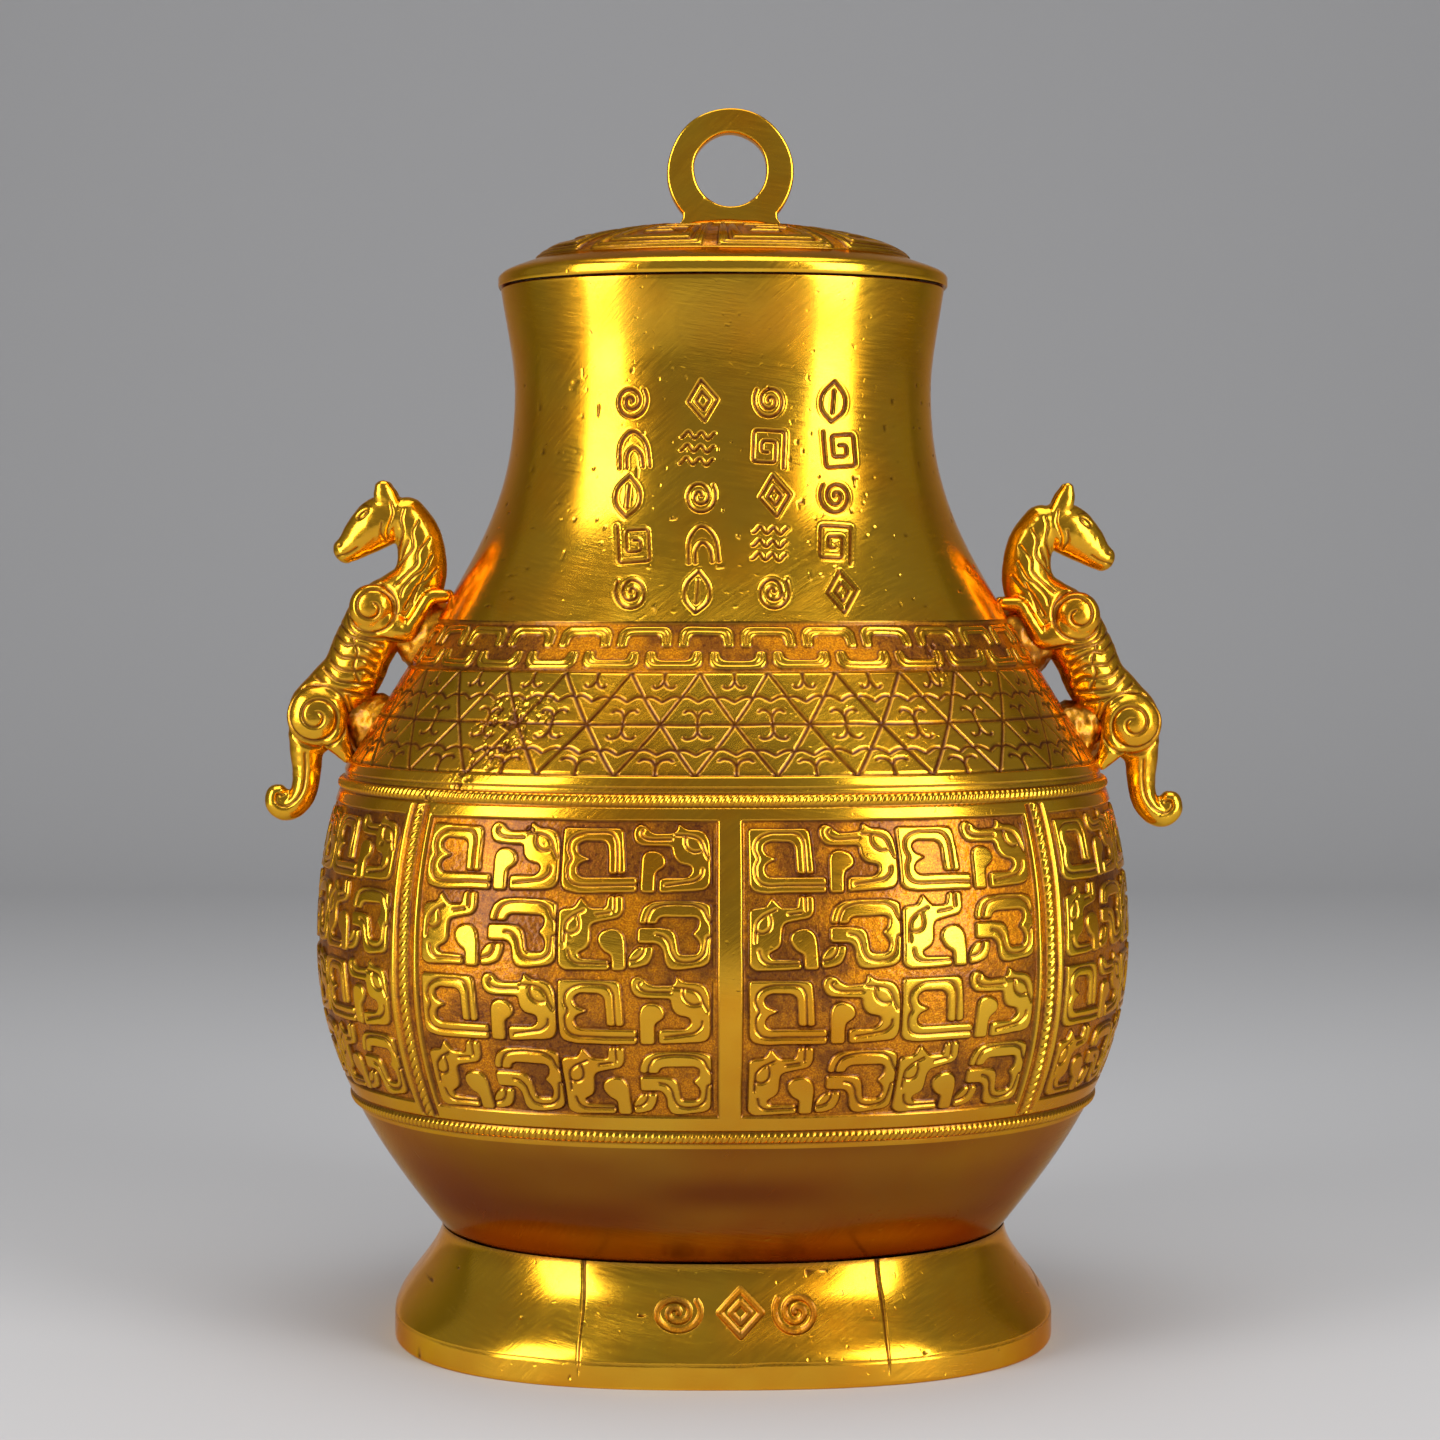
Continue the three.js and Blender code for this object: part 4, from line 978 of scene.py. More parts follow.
def lidShell(name, profile, arcs, relief):
    sheet = profileSheet(profile, arcs)
    radius = np.repeat(np.array(profile)[:, :1], len(arcs), 1)
    height, colours = relief(radius, np.repeat(arcs[None], len(profile), 0))
    sheet = sheet + sheetNormals(sheet) * height[..., None]
    sheet[..., 2] += lid["base"]
    return sheetPiece(name, sheet, colours)


def lidUnevenness(radius, arc):
    return lid["unevenness"] * softNoise(arc, radius, 22, 52, roundArc)


def scrollRelief(radius, arc):
    stamp = scrollStamp()
    part = (arc - frontArc) / roundArc
    # the places are a little narrower at the front than at the back
    share = part * lid["scrolls"] + np.sin(2 * math.pi * part) / (2 * math.pi) + lid["phase"]
    inwards = runOnDome(radius) - runOnDome(lid["scrollOuter"])
    wobble = 0.15 * softNoise(arc, radius, 6, 53, roundArc)
    down = np.clip(inwards, 0, stamp["height"] - 0.01)
    level, line = readStamp(stamp, share * stamp["width"] + wobble, down)
    inBand = ramp(inwards, -0.2, 0.3) * ramp(stamp["height"] - inwards, -0.2, 0.8)
    grain = lid["grainHeight"] * softNoise(arc, radius, 1.2, 51, roundArc)
    height = inBand * (lid["relief"] * level - lid["groundDepth"] + grain) + lidUnevenness(radius, arc)
    edge = 0.5 * bump(inwards + 0.1, 0.3)
    return height, reliefColours(inBand * (1 - level), np.maximum(inBand * line, edge), 0.15 * inBand)


def rimRelief(radius, arc):
    shoulder = bump(radius - lid["shoulder"][0], 0.6)
    tone = 0.3 * ramp(lid["halfWidth"] - 0.9 - radius, 0, 1.2)
    return lidUnevenness(radius, arc), reliefColours(0.2 * shoulder, 0.4 * shoulder, tone)


def underRelief(radius, arc):
    return 0 * arc, plainColours(radius.shape, 0.18, 0.9)


def lidPieces():
    half, (shoulderX, shoulderZ) = lid["halfWidth"], lid["shoulder"]

    def along(fromX, toX, cell):
        place = steps(float(runOnDome(fromX)), float(runOnDome(toX)), cell)
        return list(zip(np.interp(place, domeRun, domeLine[:, 0]), np.interp(place, domeRun, domeLine[:, 1])))

    bandEnd = runOnDome(lid["scrollOuter"]) + lid["scrollLength"] + 0.8
    bandIn = float(np.interp(bandEnd, domeRun, domeLine[:, 0]))
    slope = bezier((half - 1.1, 3.6), (half - 2.0, 4.3), (shoulderX + 4, 5.4), (shoulderX, shoulderZ), 18)
    edge = [(half - 0.25, 0.0), (half, 0.3), (half, 1.2), (half, 2.3), (half - 0.2, lid["rim"]),
            (half - 0.6, 3.2)]
    inner = half - lid["seat"]
    top = lid["domeRise"] - lid["wall"]
    ceiling = list(bezier((0.35, top), (0.5 * inner, top), (0.95 * inner, 0.65 * top), (inner, 0), 24))
    fine, plain = steps(0, roundArc, lid["arcCell"]), steps(0, roundArc, lid["plainCell"])
    return [lidShell("lid_scrolls", along(shoulderX, bandIn, lid["rowCell"]), fine, scrollRelief),
            lidShell("lid_rim", edge + list(slope), plain, rimRelief),
            lidShell("lid_crown", along(bandIn, 0.35, 0.8), plain, rimRelief),
            lidShell("lid_underside", ceiling + [edge[0]], plain, underRelief)]


def collarPiece():
    # the ring under the lid that drops into the mouth, with its lower edges eased
    low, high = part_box("lid_collar")
    outer, bottom, top = high[0] / mm, low[2] / mm - lid["base"], high[2] / mm - lid["base"]
    inner, ease = outer - lid["collarWall"], lid["collarEase"]
    turns = np.linspace(0, math.pi / 2, 5)
    outerEdge = [(outer - ease + ease * math.cos(a), bottom + ease - ease * math.sin(a)) for a in turns]
    innerEdge = [(inner + ease - ease * math.sin(a), bottom + ease - ease * math.cos(a)) for a in turns]
    rise = np.linspace(bottom + ease + 0.2, top, 6)
    profile = [(outer, z) for z in rise[::-1]] + outerEdge + innerEdge + [(inner, z) for z in rise]
    return lidShell("collar", profile, steps(0, roundArc, lid["plainCell"]), underRelief)


ring = dict(
    radius=16.4, holeRadius=9.4, thickness=6.0, centre=13.8, holeRise=0.6, neck=12.3, footHalf=15.5,
    footDrop=2.2, padHalfDepth=5.6, shift=2.0, unevenness=0.12,
    squareness=0.22,  # of its section: 1 would be an ellipse, 0 a rectangle
    # the pad of hard solder round its foot: share of its full size, and height above the dome
    pad=((1.02, -2.6), (1.0, -1.0), (0.93, 0.1), (0.8, 0.9), (0.5, 1.5), (0.02, 1.7)),
)


def ringOuter():
    start = -math.acos(ring["neck"] / ring["radius"])
    angles = np.linspace(start, math.pi - start, 160)
    arc = np.stack([ring["radius"] * np.cos(angles), ring["centre"] + ring["radius"] * np.sin(angles)], -1)
    t = np.linspace(0, 1, 16)[:-1, None]
    end = arc[0]
    footEnd, bend = np.array((ring["footHalf"], -ring["footDrop"])), np.array((ring["neck"], 0))
    spread = (1 - t) ** 2 * footEnd + 2 * t * (1 - t) * bend + t ** 2 * end
    return np.vstack([spread, arc, (spread * (-1, 1))[::-1]])


def ringBand():
    # points and faces of the ring, its section carried round the finger hole
    outer = ringOuter()
    centre = ring["centre"] + ring["holeRise"]
    polar = np.arctan2(outer[:, 1] - centre, outer[:, 0])
    reach = np.hypot(outer[:, 0], outer[:, 1] - centre)
    polar = np.where(polar < -math.pi / 2, polar + 2 * math.pi, polar)
    order = np.argsort(polar)
    around = np.linspace(-math.pi / 2, 1.5 * math.pi, int(300 / coarse))[:-1]
    base = (ring["footDrop"] + centre) / np.maximum(np.abs(np.sin(around)), 1e-6)
    low = (around < polar.min()) | (around > polar.max())
    radius = np.where(low, base, np.interp(around, polar[order], reach[order]))
    # the section goes round: outer edge, front face, hole, back face
    cuts = np.linspace(0, 2 * math.pi, int(64 / coarse) + 1)[:-1]
    sx, sy = (np.sign(part) * np.abs(part) ** ring["squareness"] for part in (np.cos(cuts), np.sin(cuts)))
    girth = around * 16  # mm round the ring, near enough
    middle = (radius + ring["holeRadius"]) / 2
    halfWidth = (radius - ring["holeRadius"]) / 2 + ring["unevenness"] * softNoise(girth, 0 * girth, 9, 61)
    r = middle[:, None] + halfWidth[:, None] * sx[None]
    y = (ring["thickness"] / 2) * sy[None] * (1 + 0.03 * softNoise(girth, 0 * girth, 14, 62)[:, None])
    points = np.stack([r * np.cos(around)[:, None], y, r * np.sin(around)[:, None] + centre], -1)
    rows, columns = points.shape[:2]
    index = np.arange(rows * columns).reshape(rows, columns)
    down = np.roll(index, -1, 0)
    faces = np.stack([index, np.roll(index, -1, 1), np.roll(down, -1, 1), down], -1).reshape(-1, 4)
    return points.reshape(-1, 3), faces[:, ::-1]


def ringPad():
    # the lump of solder, worn round, that the ring stands in
    turns = np.linspace(0, 2 * math.pi, int(90 / coarse))[:-1]
    lump = 0.2 * softNoise(turns * 9, turns * 0, 3, 63)
    x, y = ring["footHalf"] * np.cos(turns), ring["padHalfDepth"] * np.sin(turns)
    points = [np.stack([share * x, share * y, z + lump], -1) for share, z in ring["pad"]]
    return np.concatenate(points), gridFaces(len(ring["pad"]), len(turns), closed=True)


def ringPiece():
    points, faces = ringBand()
    padPoints, padFaces = ringPad()
    place = (ring["shift"], 0, lid["base"] + lid["domeRise"])
    relief = np.concatenate([plainColours(len(points), 0.0, 0.0), plainColours(len(padPoints), 0.0, 0.3)])
    relief[len(points):, 0] = 0.1  # the solder is a little duller
    return meshFrom("lifting_ring", np.concatenate([points, padPoints]) + place,
                    np.concatenate([faces, padFaces + len(points)]), relief)


lidShells = lidPieces()
collar = collarPiece()
ringObject = ringPiece()
print("lid and ring made")


# Handles: two beasts that climb the shoulder, looking out

beast = dict(
    seat=156.0, lift=1.0, drawnLean=31.6, voxel=0.33, smoothing=8, spacing=27.5,
    # stations: out from the wall, up, to the side, half width as drawn, half thickness
    spine=[(-8, 54.2, 0, 5.7, 5), (-11.6, 48.8, 0, 6.0, 5.4), (-12.7, 42.7, 0, 6.4, 5.8),
           (-11.5, 37, 0, 7.2, 6.2), (-7.6, 32.2, 0, 8.2, 6.8), (-2.2, 27.8, 0, 8.7, 7.4),
           (2.3, 20.5, 0, 8.2, 7.6), (5.6, 13.2, 0, 8.0, 7.2), (10, 8, 0, 8.1, 7.2), (14.3, 2.3, 0, 8.4, 7.4),
           (16.6, -3.4, 0, 6, 5.2)],
    tail=[(16.8, -1.5, 0, 5.6, 4.8), (17.6, -6.9, 0, 4.5, 4.2), (17.6, -12.1, 0, 3.8, 3.7),
          (18.2, -16.9, 0, 3.5, 3.4), (20.2, -20.7, 0, 3.3, 3.3), (23.2, -22.4, 0, 2.9, 3.2),
          (25.8, -20.8, 0, 2.7, 3), (25.8, -18.4, 0, 2.4, 2.8), (24.3, -17.6, 0, 1.9, 2.4)],
    tailCurl=(24.0, -19.6, 3.0, 0, 2.3),
    head=[(-4.9, 54.3, 0, 6.2, 5), (-1.2, 52.1, 0, 6.6, 5.2), (2.7, 48.9, 0, 5.5, 4.5),
          (5.7, 46.3, 0, 4.1, 3.7), (7.5, 45.0, 0, 3.4, 3.2)],
    ear=[(-4.2, 57.2, 2.6, 3, 2), (-2.8, 61.2, 3, 2.5, 1.7), (-2.2, 63.6, 3.2, 1.5, 1.2)],
    shortEar=[(-4.2, 57.2, 2.6, 3.2, 2.2), (-3.2, 60.0, 2.8, 2.9, 2.0), (-2.8, 61.6, 2.9, 2.2, 1.7)],
    foreleg=[(-1, 28, 5.4, 5.0, 2.7), (-5.5, 25.2, 6, 3.8, 2.7), (-9, 24.1, 6, 2.7, 2.5),
             (-11, 26.7, 5.8, 2.1, 2.3), (-13.1, 30.2, 5.6, 2.0, 2.2), (-15.2, 33.0, 5.5, 2.0, 2.2),
             (-19.4, 33.4, 5.2, 1.7, 2.0)],
    hindleg=[(11, -1, 5, 5, 3), (8.6, -5, 5.6, 3.2, 2.6), (6.2, -8.4, 5.4, 1.9, 2.1)],
    # round bosses: out, up, radius, to the side, half thickness
    shoulderBoss=(-0.2, 30.4, 6.2, 5.4, 4), haunchBoss=(14.2, 2.2, 8, 5.2, 4.2),
    spirals=dict(shoulderBoss=1.6, haunchBoss=2.2), spiralDepth=0.55,  # turns that are cut into each boss
    # an almond eye that follows the face, and the nostril: out, up, how deep
    eye=(2.5, 54.6, 0.4), nostril=(8.6, 46.6, 0.35),
    # rough pads on the wall: half along the wall, half across, how far they stand out
    upperPad=(9.2, 6.6, 9.6), lowerPad=(8.2, 6.2, 6.6),
)

# Cut lines on a beast's side, in the same out and up as its stations
beastLines = dict(
    mane=[[(-5.0, 57.5), (-5.4, 54.4), (-4.1, 50.4), (-4.4, 48.0)],
          [(-8.5, 55.9), (-7.8, 53.1), (-8.1, 49.8), (-6.7, 46.1)],
          [(-12.0, 52.7), (-10.6, 49.8), (-10.9, 46.1), (-9.0, 43.6), (-6.7, 41.1)],
          [(-14.9, 48.3), (-12.2, 44.7), (-12.0, 41.7), (-9.3, 39.3), (-6.2, 36.5)],
          [(-15.6, 44.0), (-13.3, 40.1), (-10.9, 38.4), (-8.4, 35.6), (-7.6, 33.1)],
          [(-17.0, 40.5), (-14.1, 37.4), (-12.0, 36.2), (-10.2, 33.1), (-8.7, 30.2)],
          [(-9.5, 47.6), (-8.0, 44.9), (-7.4, 43.0)], [(-13.6, 38.6), (-11.6, 34.4), (-10.6, 31.6)]],
    ribs=[[(8.4, 25.9), (5.5, 23.1), (2.1, 22.3), (-2.8, 20.6)],
          [(9.4, 23.2), (6.7, 20.8), (4.5, 20.9), (1.5, 20.0), (-2.0, 17.6)],
          [(10.2, 19.9), (7.9, 17.7), (4.9, 17.4), (2.1, 17.2), (-1.0, 15.2)],
          [(11.2, 16.9), (8.4, 14.6), (4.5, 13.9), (1.8, 14.1), (-0.6, 12.6)],
          [(12.6, 14.8), (8.9, 11.6), (4.5, 10.8), (0.4, 10.2)],
          [(14.9, 12.7), (10.7, 9.9), (6.0, 8.4), (2.4, 7.4)]],
    flank=[[(4.9, 22.4), (3.6, 18.6), (4.6, 15.3), (3.2, 11.0)]],
    brow=[[(4.6, 56.2), (2.6, 57.1), (0.6, 56.8)]],
    mouth=[[(9.4, 43.6), (6.4, 44.4), (3.8, 45.9)]],
    jaw=[[(-3.6, 47.6), (-2.4, 49.6), (-2.6, 52.4)]],
    shoulderLine=[[(6.6, 31.0), (6.0, 25.6), (2.0, 22.9), (-3.6, 22.3), (-8.2, 21.4)]],
    haunchLine=[[(6.2, 7.4), (4.9, 2.2), (5.2, -3.0), (4.6, -7.6)]],
    tail=[[(17.6, -7.5), (17.6, -12.5), (18.4, -17.2), (20.6, -20.2), (23.4, -21.3), (25.2, -20.0),
           (24.9, -18.4), (23.7, -18.6)]],
)
# How deep and how wide each kind of line is cut
beastCuts = dict(
    mane=(0.42, 0.28), ribs=(0.55, 0.48), flank=(0.45, 0.45), brow=(0.35, 0.3), mouth=(0.3, 0.28),
    jaw=(0.25, 0.4), shoulderLine=(0.4, 0.4), haunchLine=(0.35, 0.4), tail=(0.42, 0.4),
)


def catmull(stations, count):
    # a smooth line through all its stations
    pts = np.array(stations, float)
    pts = np.vstack([2 * pts[0] - pts[1], pts, 2 * pts[-1] - pts[-2]])
    place = np.linspace(0, len(stations) - 1, count)
    i = np.minimum(place.astype(int), len(stations) - 2)
    t = (place - i)[:, None]
    a, b, c, d = (pts[i + k] for k in range(4))
    slope, bend, twist = c - a, 2 * a - 5 * b + 4 * c - d, 3 * b - a - 3 * c + d
    return 0.5 * (2 * b + slope * t + bend * t ** 2 + twist * t ** 3)


def limb(stations, sides, count, mirror=1):
    # a tapering tube with round ends along its stations
    line = catmull(stations, count)
    path = line[:, [0, 2, 1]] * (1, mirror, 1)
    along = np.gradient(path, axis=0)
    along /= np.linalg.norm(along, axis=1, keepdims=True)
    high = np.cross((0.0, 1.0, 0.0), along)
    high /= np.linalg.norm(high, axis=1, keepdims=True)
    across = np.cross(along, high)
    half, thick = line[:, 3], line[:, 4]
    # sections as place, shift along and size: a rounded cap, the limb, and a rounded cap
    angles = np.linspace(0, math.pi / 2, 6)[1:]
    cap = [(0.8 * math.sin(angle), max(math.cos(angle), 0.03)) for angle in angles]
    sections = [(0, -shift * half[0], size) for shift, size in cap[::-1]]
    sections += [(i, 0, 1) for i in range(count)]
    sections += [(count - 1, shift * half[-1], size) for shift, size in cap]
    turns = np.linspace(0, 2 * math.pi, sides, endpoint=False)[:, None]
    rings = []
    for i, shift, size in sections:
        section = half[i] * np.cos(turns) * high[i] + thick[i] * np.sin(turns) * across[i]
        rings.append(path[i] + along[i] * shift + size * section)
    return np.concatenate(rings), gridFaces(len(rings), sides, closed=True)


def blob(out, up, radius, side, half, mirror=1):
    # a flattened ball
    rows, columns = 24, 36
    lat = np.linspace(0.02, math.pi - 0.02, rows)[:, None]
    lon = np.linspace(0, 2 * math.pi, columns, endpoint=False)[None]
    points = np.stack([out + radius * np.sin(lat) * np.cos(lon), mirror * side + half * np.cos(lat) + 0 * lon,
                       up + radius * np.sin(lat) * np.sin(lon)], -1)
    return points.reshape(-1, 3), gridFaces(rows, columns, closed=True)


def wallSeat(height):
    # a place on the wall at the right side, and how far the wall leans there
    run = runAt(height)
    (x0, z0), (x1, z1) = outlineAt(run - 0.2), outlineAt(run + 0.2)
    lean = math.atan2(x0 - x1, z1 - z0)
    x, z = outlineAt(run)
    return float(x), float(z), lean


def wallPad(seat, halfAlong, halfAcross, length):
    # metal that was run in between a beast and the wall, and left rough
    x, z, lean = seat
    turns = np.linspace(0, 2 * math.pi, int(72 / coarse), endpoint=False)
    levels = np.linspace(-0.25, 1.0, int(26 / coarse))
    shares = np.concatenate([1.06 - 0.34 * ramp(levels, -0.1, 1.0), [0.5, 0.02]])
    levels = np.concatenate([levels, [1.04, 1.05]])
    rings = []
    for level, share in zip(levels, shares):
        reach = level * length
        girth, roundGirth = turns * 7, 14 * math.pi
        lump = 0.55 * softNoise(girth, turns * 0 + reach, 2.6, 71, roundGirth)
        lump = lump + 0.25 * softNoise(girth, turns * 0 + reach, 1.1, 74, roundGirth)
        a = (share * halfAlong + lump) * np.cos(turns)
        b = (share * halfAcross + lump) * np.sin(turns)
        cosine, sine = math.cos(lean), math.sin(lean)
        rings.append(np.stack([x + reach * cosine - a * sine, b, z + reach * sine + a * cosine], -1))
    return np.array(rings).reshape(-1, 3), gridFaces(len(rings), len(turns), closed=True)


def spiralCuts(out, up, side):
    # two turns cut into each boss, and a groove round it
    depth = np.zeros(out.shape)
    for key, turns in beast["spirals"].items():
        bossOut, bossUp, radius = beast[key][:3]
        r, angle = np.hypot(out - bossOut, up - bossUp), np.arctan2(up - bossUp, out - bossOut)
        pitch = radius / turns
        phase = r / pitch - angle / (2 * math.pi)
        near = np.abs(phase - np.round(phase)) * pitch
        inside = (r < radius + 0.2) & (r > 0.3 * pitch)
        depth = np.maximum(depth, inside * bump(near, 0.4))
        depth = np.maximum(depth, bump(r - radius - 0.3, 0.4))
    return depth * (np.abs(side) > 3.5)


def joined(parts):
    # several pairs of points and faces as one
    points, faces, count = [], [], 0
    for partPoints, partFaces in parts:
        points.append(partPoints)
        faces.append(partFaces + count)
        count += len(partPoints)
    return np.concatenate(points), np.concatenate(faces)


def beastMesh(name, ear):
    parts = [limb(beast["spine"], 36, 90), limb(beast["tail"], 24, 70), limb(beast["head"], 28, 40),
             blob(*beast["tailCurl"])]
    for mirror in (-1, 1):
        parts += [limb(beast[ear], 16, 14, mirror), limb(beast["foreleg"], 20, 50, mirror),
                  limb(beast["hindleg"], 20, 20, mirror)]
        parts += [blob(*beast[key], mirror) for key in beast["spirals"]]
    return meshFrom(name, *joined(parts))


def applyModifiers(piece):
    graph = bpy.context.evaluated_depsgraph_get()
    mesh = bpy.data.meshes.new_from_object(piece.evaluated_get(graph))
    piece.modifiers.clear()
    piece.data = mesh


def fusedBeast(name, ear):
    # the body, limbs and bosses run into one skin: its points, normals and faces
    piece = beastMesh(name, ear)
    remesh = piece.modifiers.new("remesh", "REMESH")
    remesh.mode = "VOXEL"
    remesh.voxel_size = beast["voxel"] * coarse * mm
    smooth = piece.modifiers.new("smooth", "SMOOTH")
    smooth.factor, smooth.iterations = 0.5, beast["smoothing"]
    applyModifiers(piece)
    mesh = piece.data
    points, normals = (np.zeros(len(mesh.vertices) * 3, np.float32) for _ in range(2))
    corners = np.zeros(len(mesh.loops), np.int32)
    mesh.vertices.foreach_get("co", points)
    mesh.vertices.foreach_get("normal", normals)
    mesh.loops.foreach_get("vertex_index", corners)
    bpy.data.objects.remove(piece)
    points, normals = (values.reshape(-1, 3).astype(float) for values in (points, normals))
    return points / mm, normals, corners.reshape(-1, 4)


def beastCarving(out, side, up, sideways):
    # how deep the skin is cut, and how much of each point lies in a groove
    facing = ramp(sideways, 0.1, 0.4)
    bosses = spiralCuts(out, up, side) * ramp(sideways, 0.25, 0.6)
    besideBoss = np.ones(len(out))
    for key in beast["spirals"]:
        bossOut, bossUp, radius = beast[key][:3]
        besideBoss *= ramp(np.hypot(out - bossOut, up - bossUp), radius + 0.4, radius + 1.2)
    depth, groove = beast["spiralDepth"] * bosses, bosses
    for key, (deep, width) in beastCuts.items():
        lines = [catmull(line, 8 * len(line)) for line in beastLines[key]]
        shown = ramp(sideways, -0.2, 0.25) if key == "ribs" else facing  # the ribs run over the back
        cut = bump(lineDistance(out, up, lines), width) * (besideBoss * shown)
        depth = np.maximum(depth, deep * cut)
        groove = np.maximum(groove, cut)
    eyeOut, eyeUp, eyeDepth = beast["eye"]
    nostrilOut, nostrilUp, nostrilDepth = beast["nostril"]
    along = (out - eyeOut) * 0.8 - (up - eyeUp) * 0.6
    across = (out - eyeOut) * 0.6 + (up - eyeUp) * 0.8
    eye = bump(np.hypot(along * 0.62, across * 1.3) - 1.0, 0.3) * facing
    nostril = bump(np.hypot(out - nostrilOut, up - nostrilUp), 0.6) * facing
    return depth + (eyeDepth * eye + nostrilDepth * nostril), np.clip(groove + eye + nostril, 0, 1)


def carveBeast(name, height, direction, ear):
    points, normals, faces = fusedBeast(name, ear)
    out, side, up = points.T
    depth, groove = beastCarving(out, side, up, np.abs(normals[:, 1]))
    rough = 0.04 * softNoise(out + side, up, 1.2, 72) + 0.10 * softNoise(out - side, up, 4, 73)
    out, side, up = (points + normals * (rough - depth)[:, None]).T
    # the grooves take the ground colour, and the sides that face the wall take some of it as painted shade
    ground = np.clip(0.5 * groove + 0.25 * ramp(-normals[:, 0], 0.5, 0.95), 0, 1)
    relief = [reliefColours(ground, groove * 0.8, 0 * groove)]
    # its place on the wall, and the pads that hold it there
    lower = wallSeat(height)
    upper = wallSeat(height + beast["spacing"] * math.cos(lower[2]))
    turn = lower[2] - math.radians(beast["drawnLean"])
    cosine, sine = math.cos(turn), math.sin(turn)
    placed = np.stack([out * cosine - up * sine + lower[0], side, out * sine + up * cosine + lower[1]], -1)
    parts = [(placed, faces)]
    for seat, pad in ((lower, beast["lowerPad"]), (upper, beast["upperPad"])):
        padPoints, padFaces = wallPad(seat, *pad)
        parts.append((padPoints, padFaces))
        lumps = ramp(softNoise(padPoints[:, 1] * 2, padPoints[:, 2] * 2, 3, 75), 0.1, 0.7)
        relief.append(reliefColours(0 * lumps + 0.7, 0.45 * lumps, 0 * lumps + 0.2))
    points, faces = joined(parts)
    return meshFrom(name, points * (direction, direction, 1), faces, np.concatenate(relief))


handles = [carveBeast("beast_left", beast["seat"] + beast["lift"], -1, "shortEar"),
           carveBeast("beast_right", beast["seat"] - beast["lift"], 1, "ear")]
print("beasts carved")


# Finishes

gilding = dict(
    # low is the colour of painted shade on the lower belly and the top of the foot; line and ground also
    # carry painted shade in places
    high=(0.95, 0.53, 0.028), warm=(0.83, 0.335, 0.008), ground=(0.43, 0.125, 0.005),
    deep=(0.13, 0.036, 0.010), line=(0.08, 0.015, 0.003), low=(0.17, 0.032, 0.002),
    grazing=(1.0, 0.56, 0.08), roughHigh=0.18, roughGround=0.44, coat=0.22, coatRoughness=0.1,
    # each pattern's scale, detail and roughness, from clouds a hand wide to single grains
    patch=(15, 2, 0.5), turns=(26, 1, 0.5), blotch=(38, 3, 0.55), stain=(62, 4, 0.62), pits=(520, 1, 0.4),
    speck=(900, 2, 0.6), grain=(2600, 2, 0.6),
    # strokes: how close they lie along the three axes, and how they are turned
    strokesHere=((100, 100, 1500), (0.12, 0.15, 0)), strokesThere=((130, 130, 1400), (-0.5, -0.65, 0.2)),
    bumpStrength=0.5, bumpDistance=0.00006,
    strokeHeight=1.1, pitHeight=-1.2, grainHeight=2.6,  # as shares of the bump's distance
)


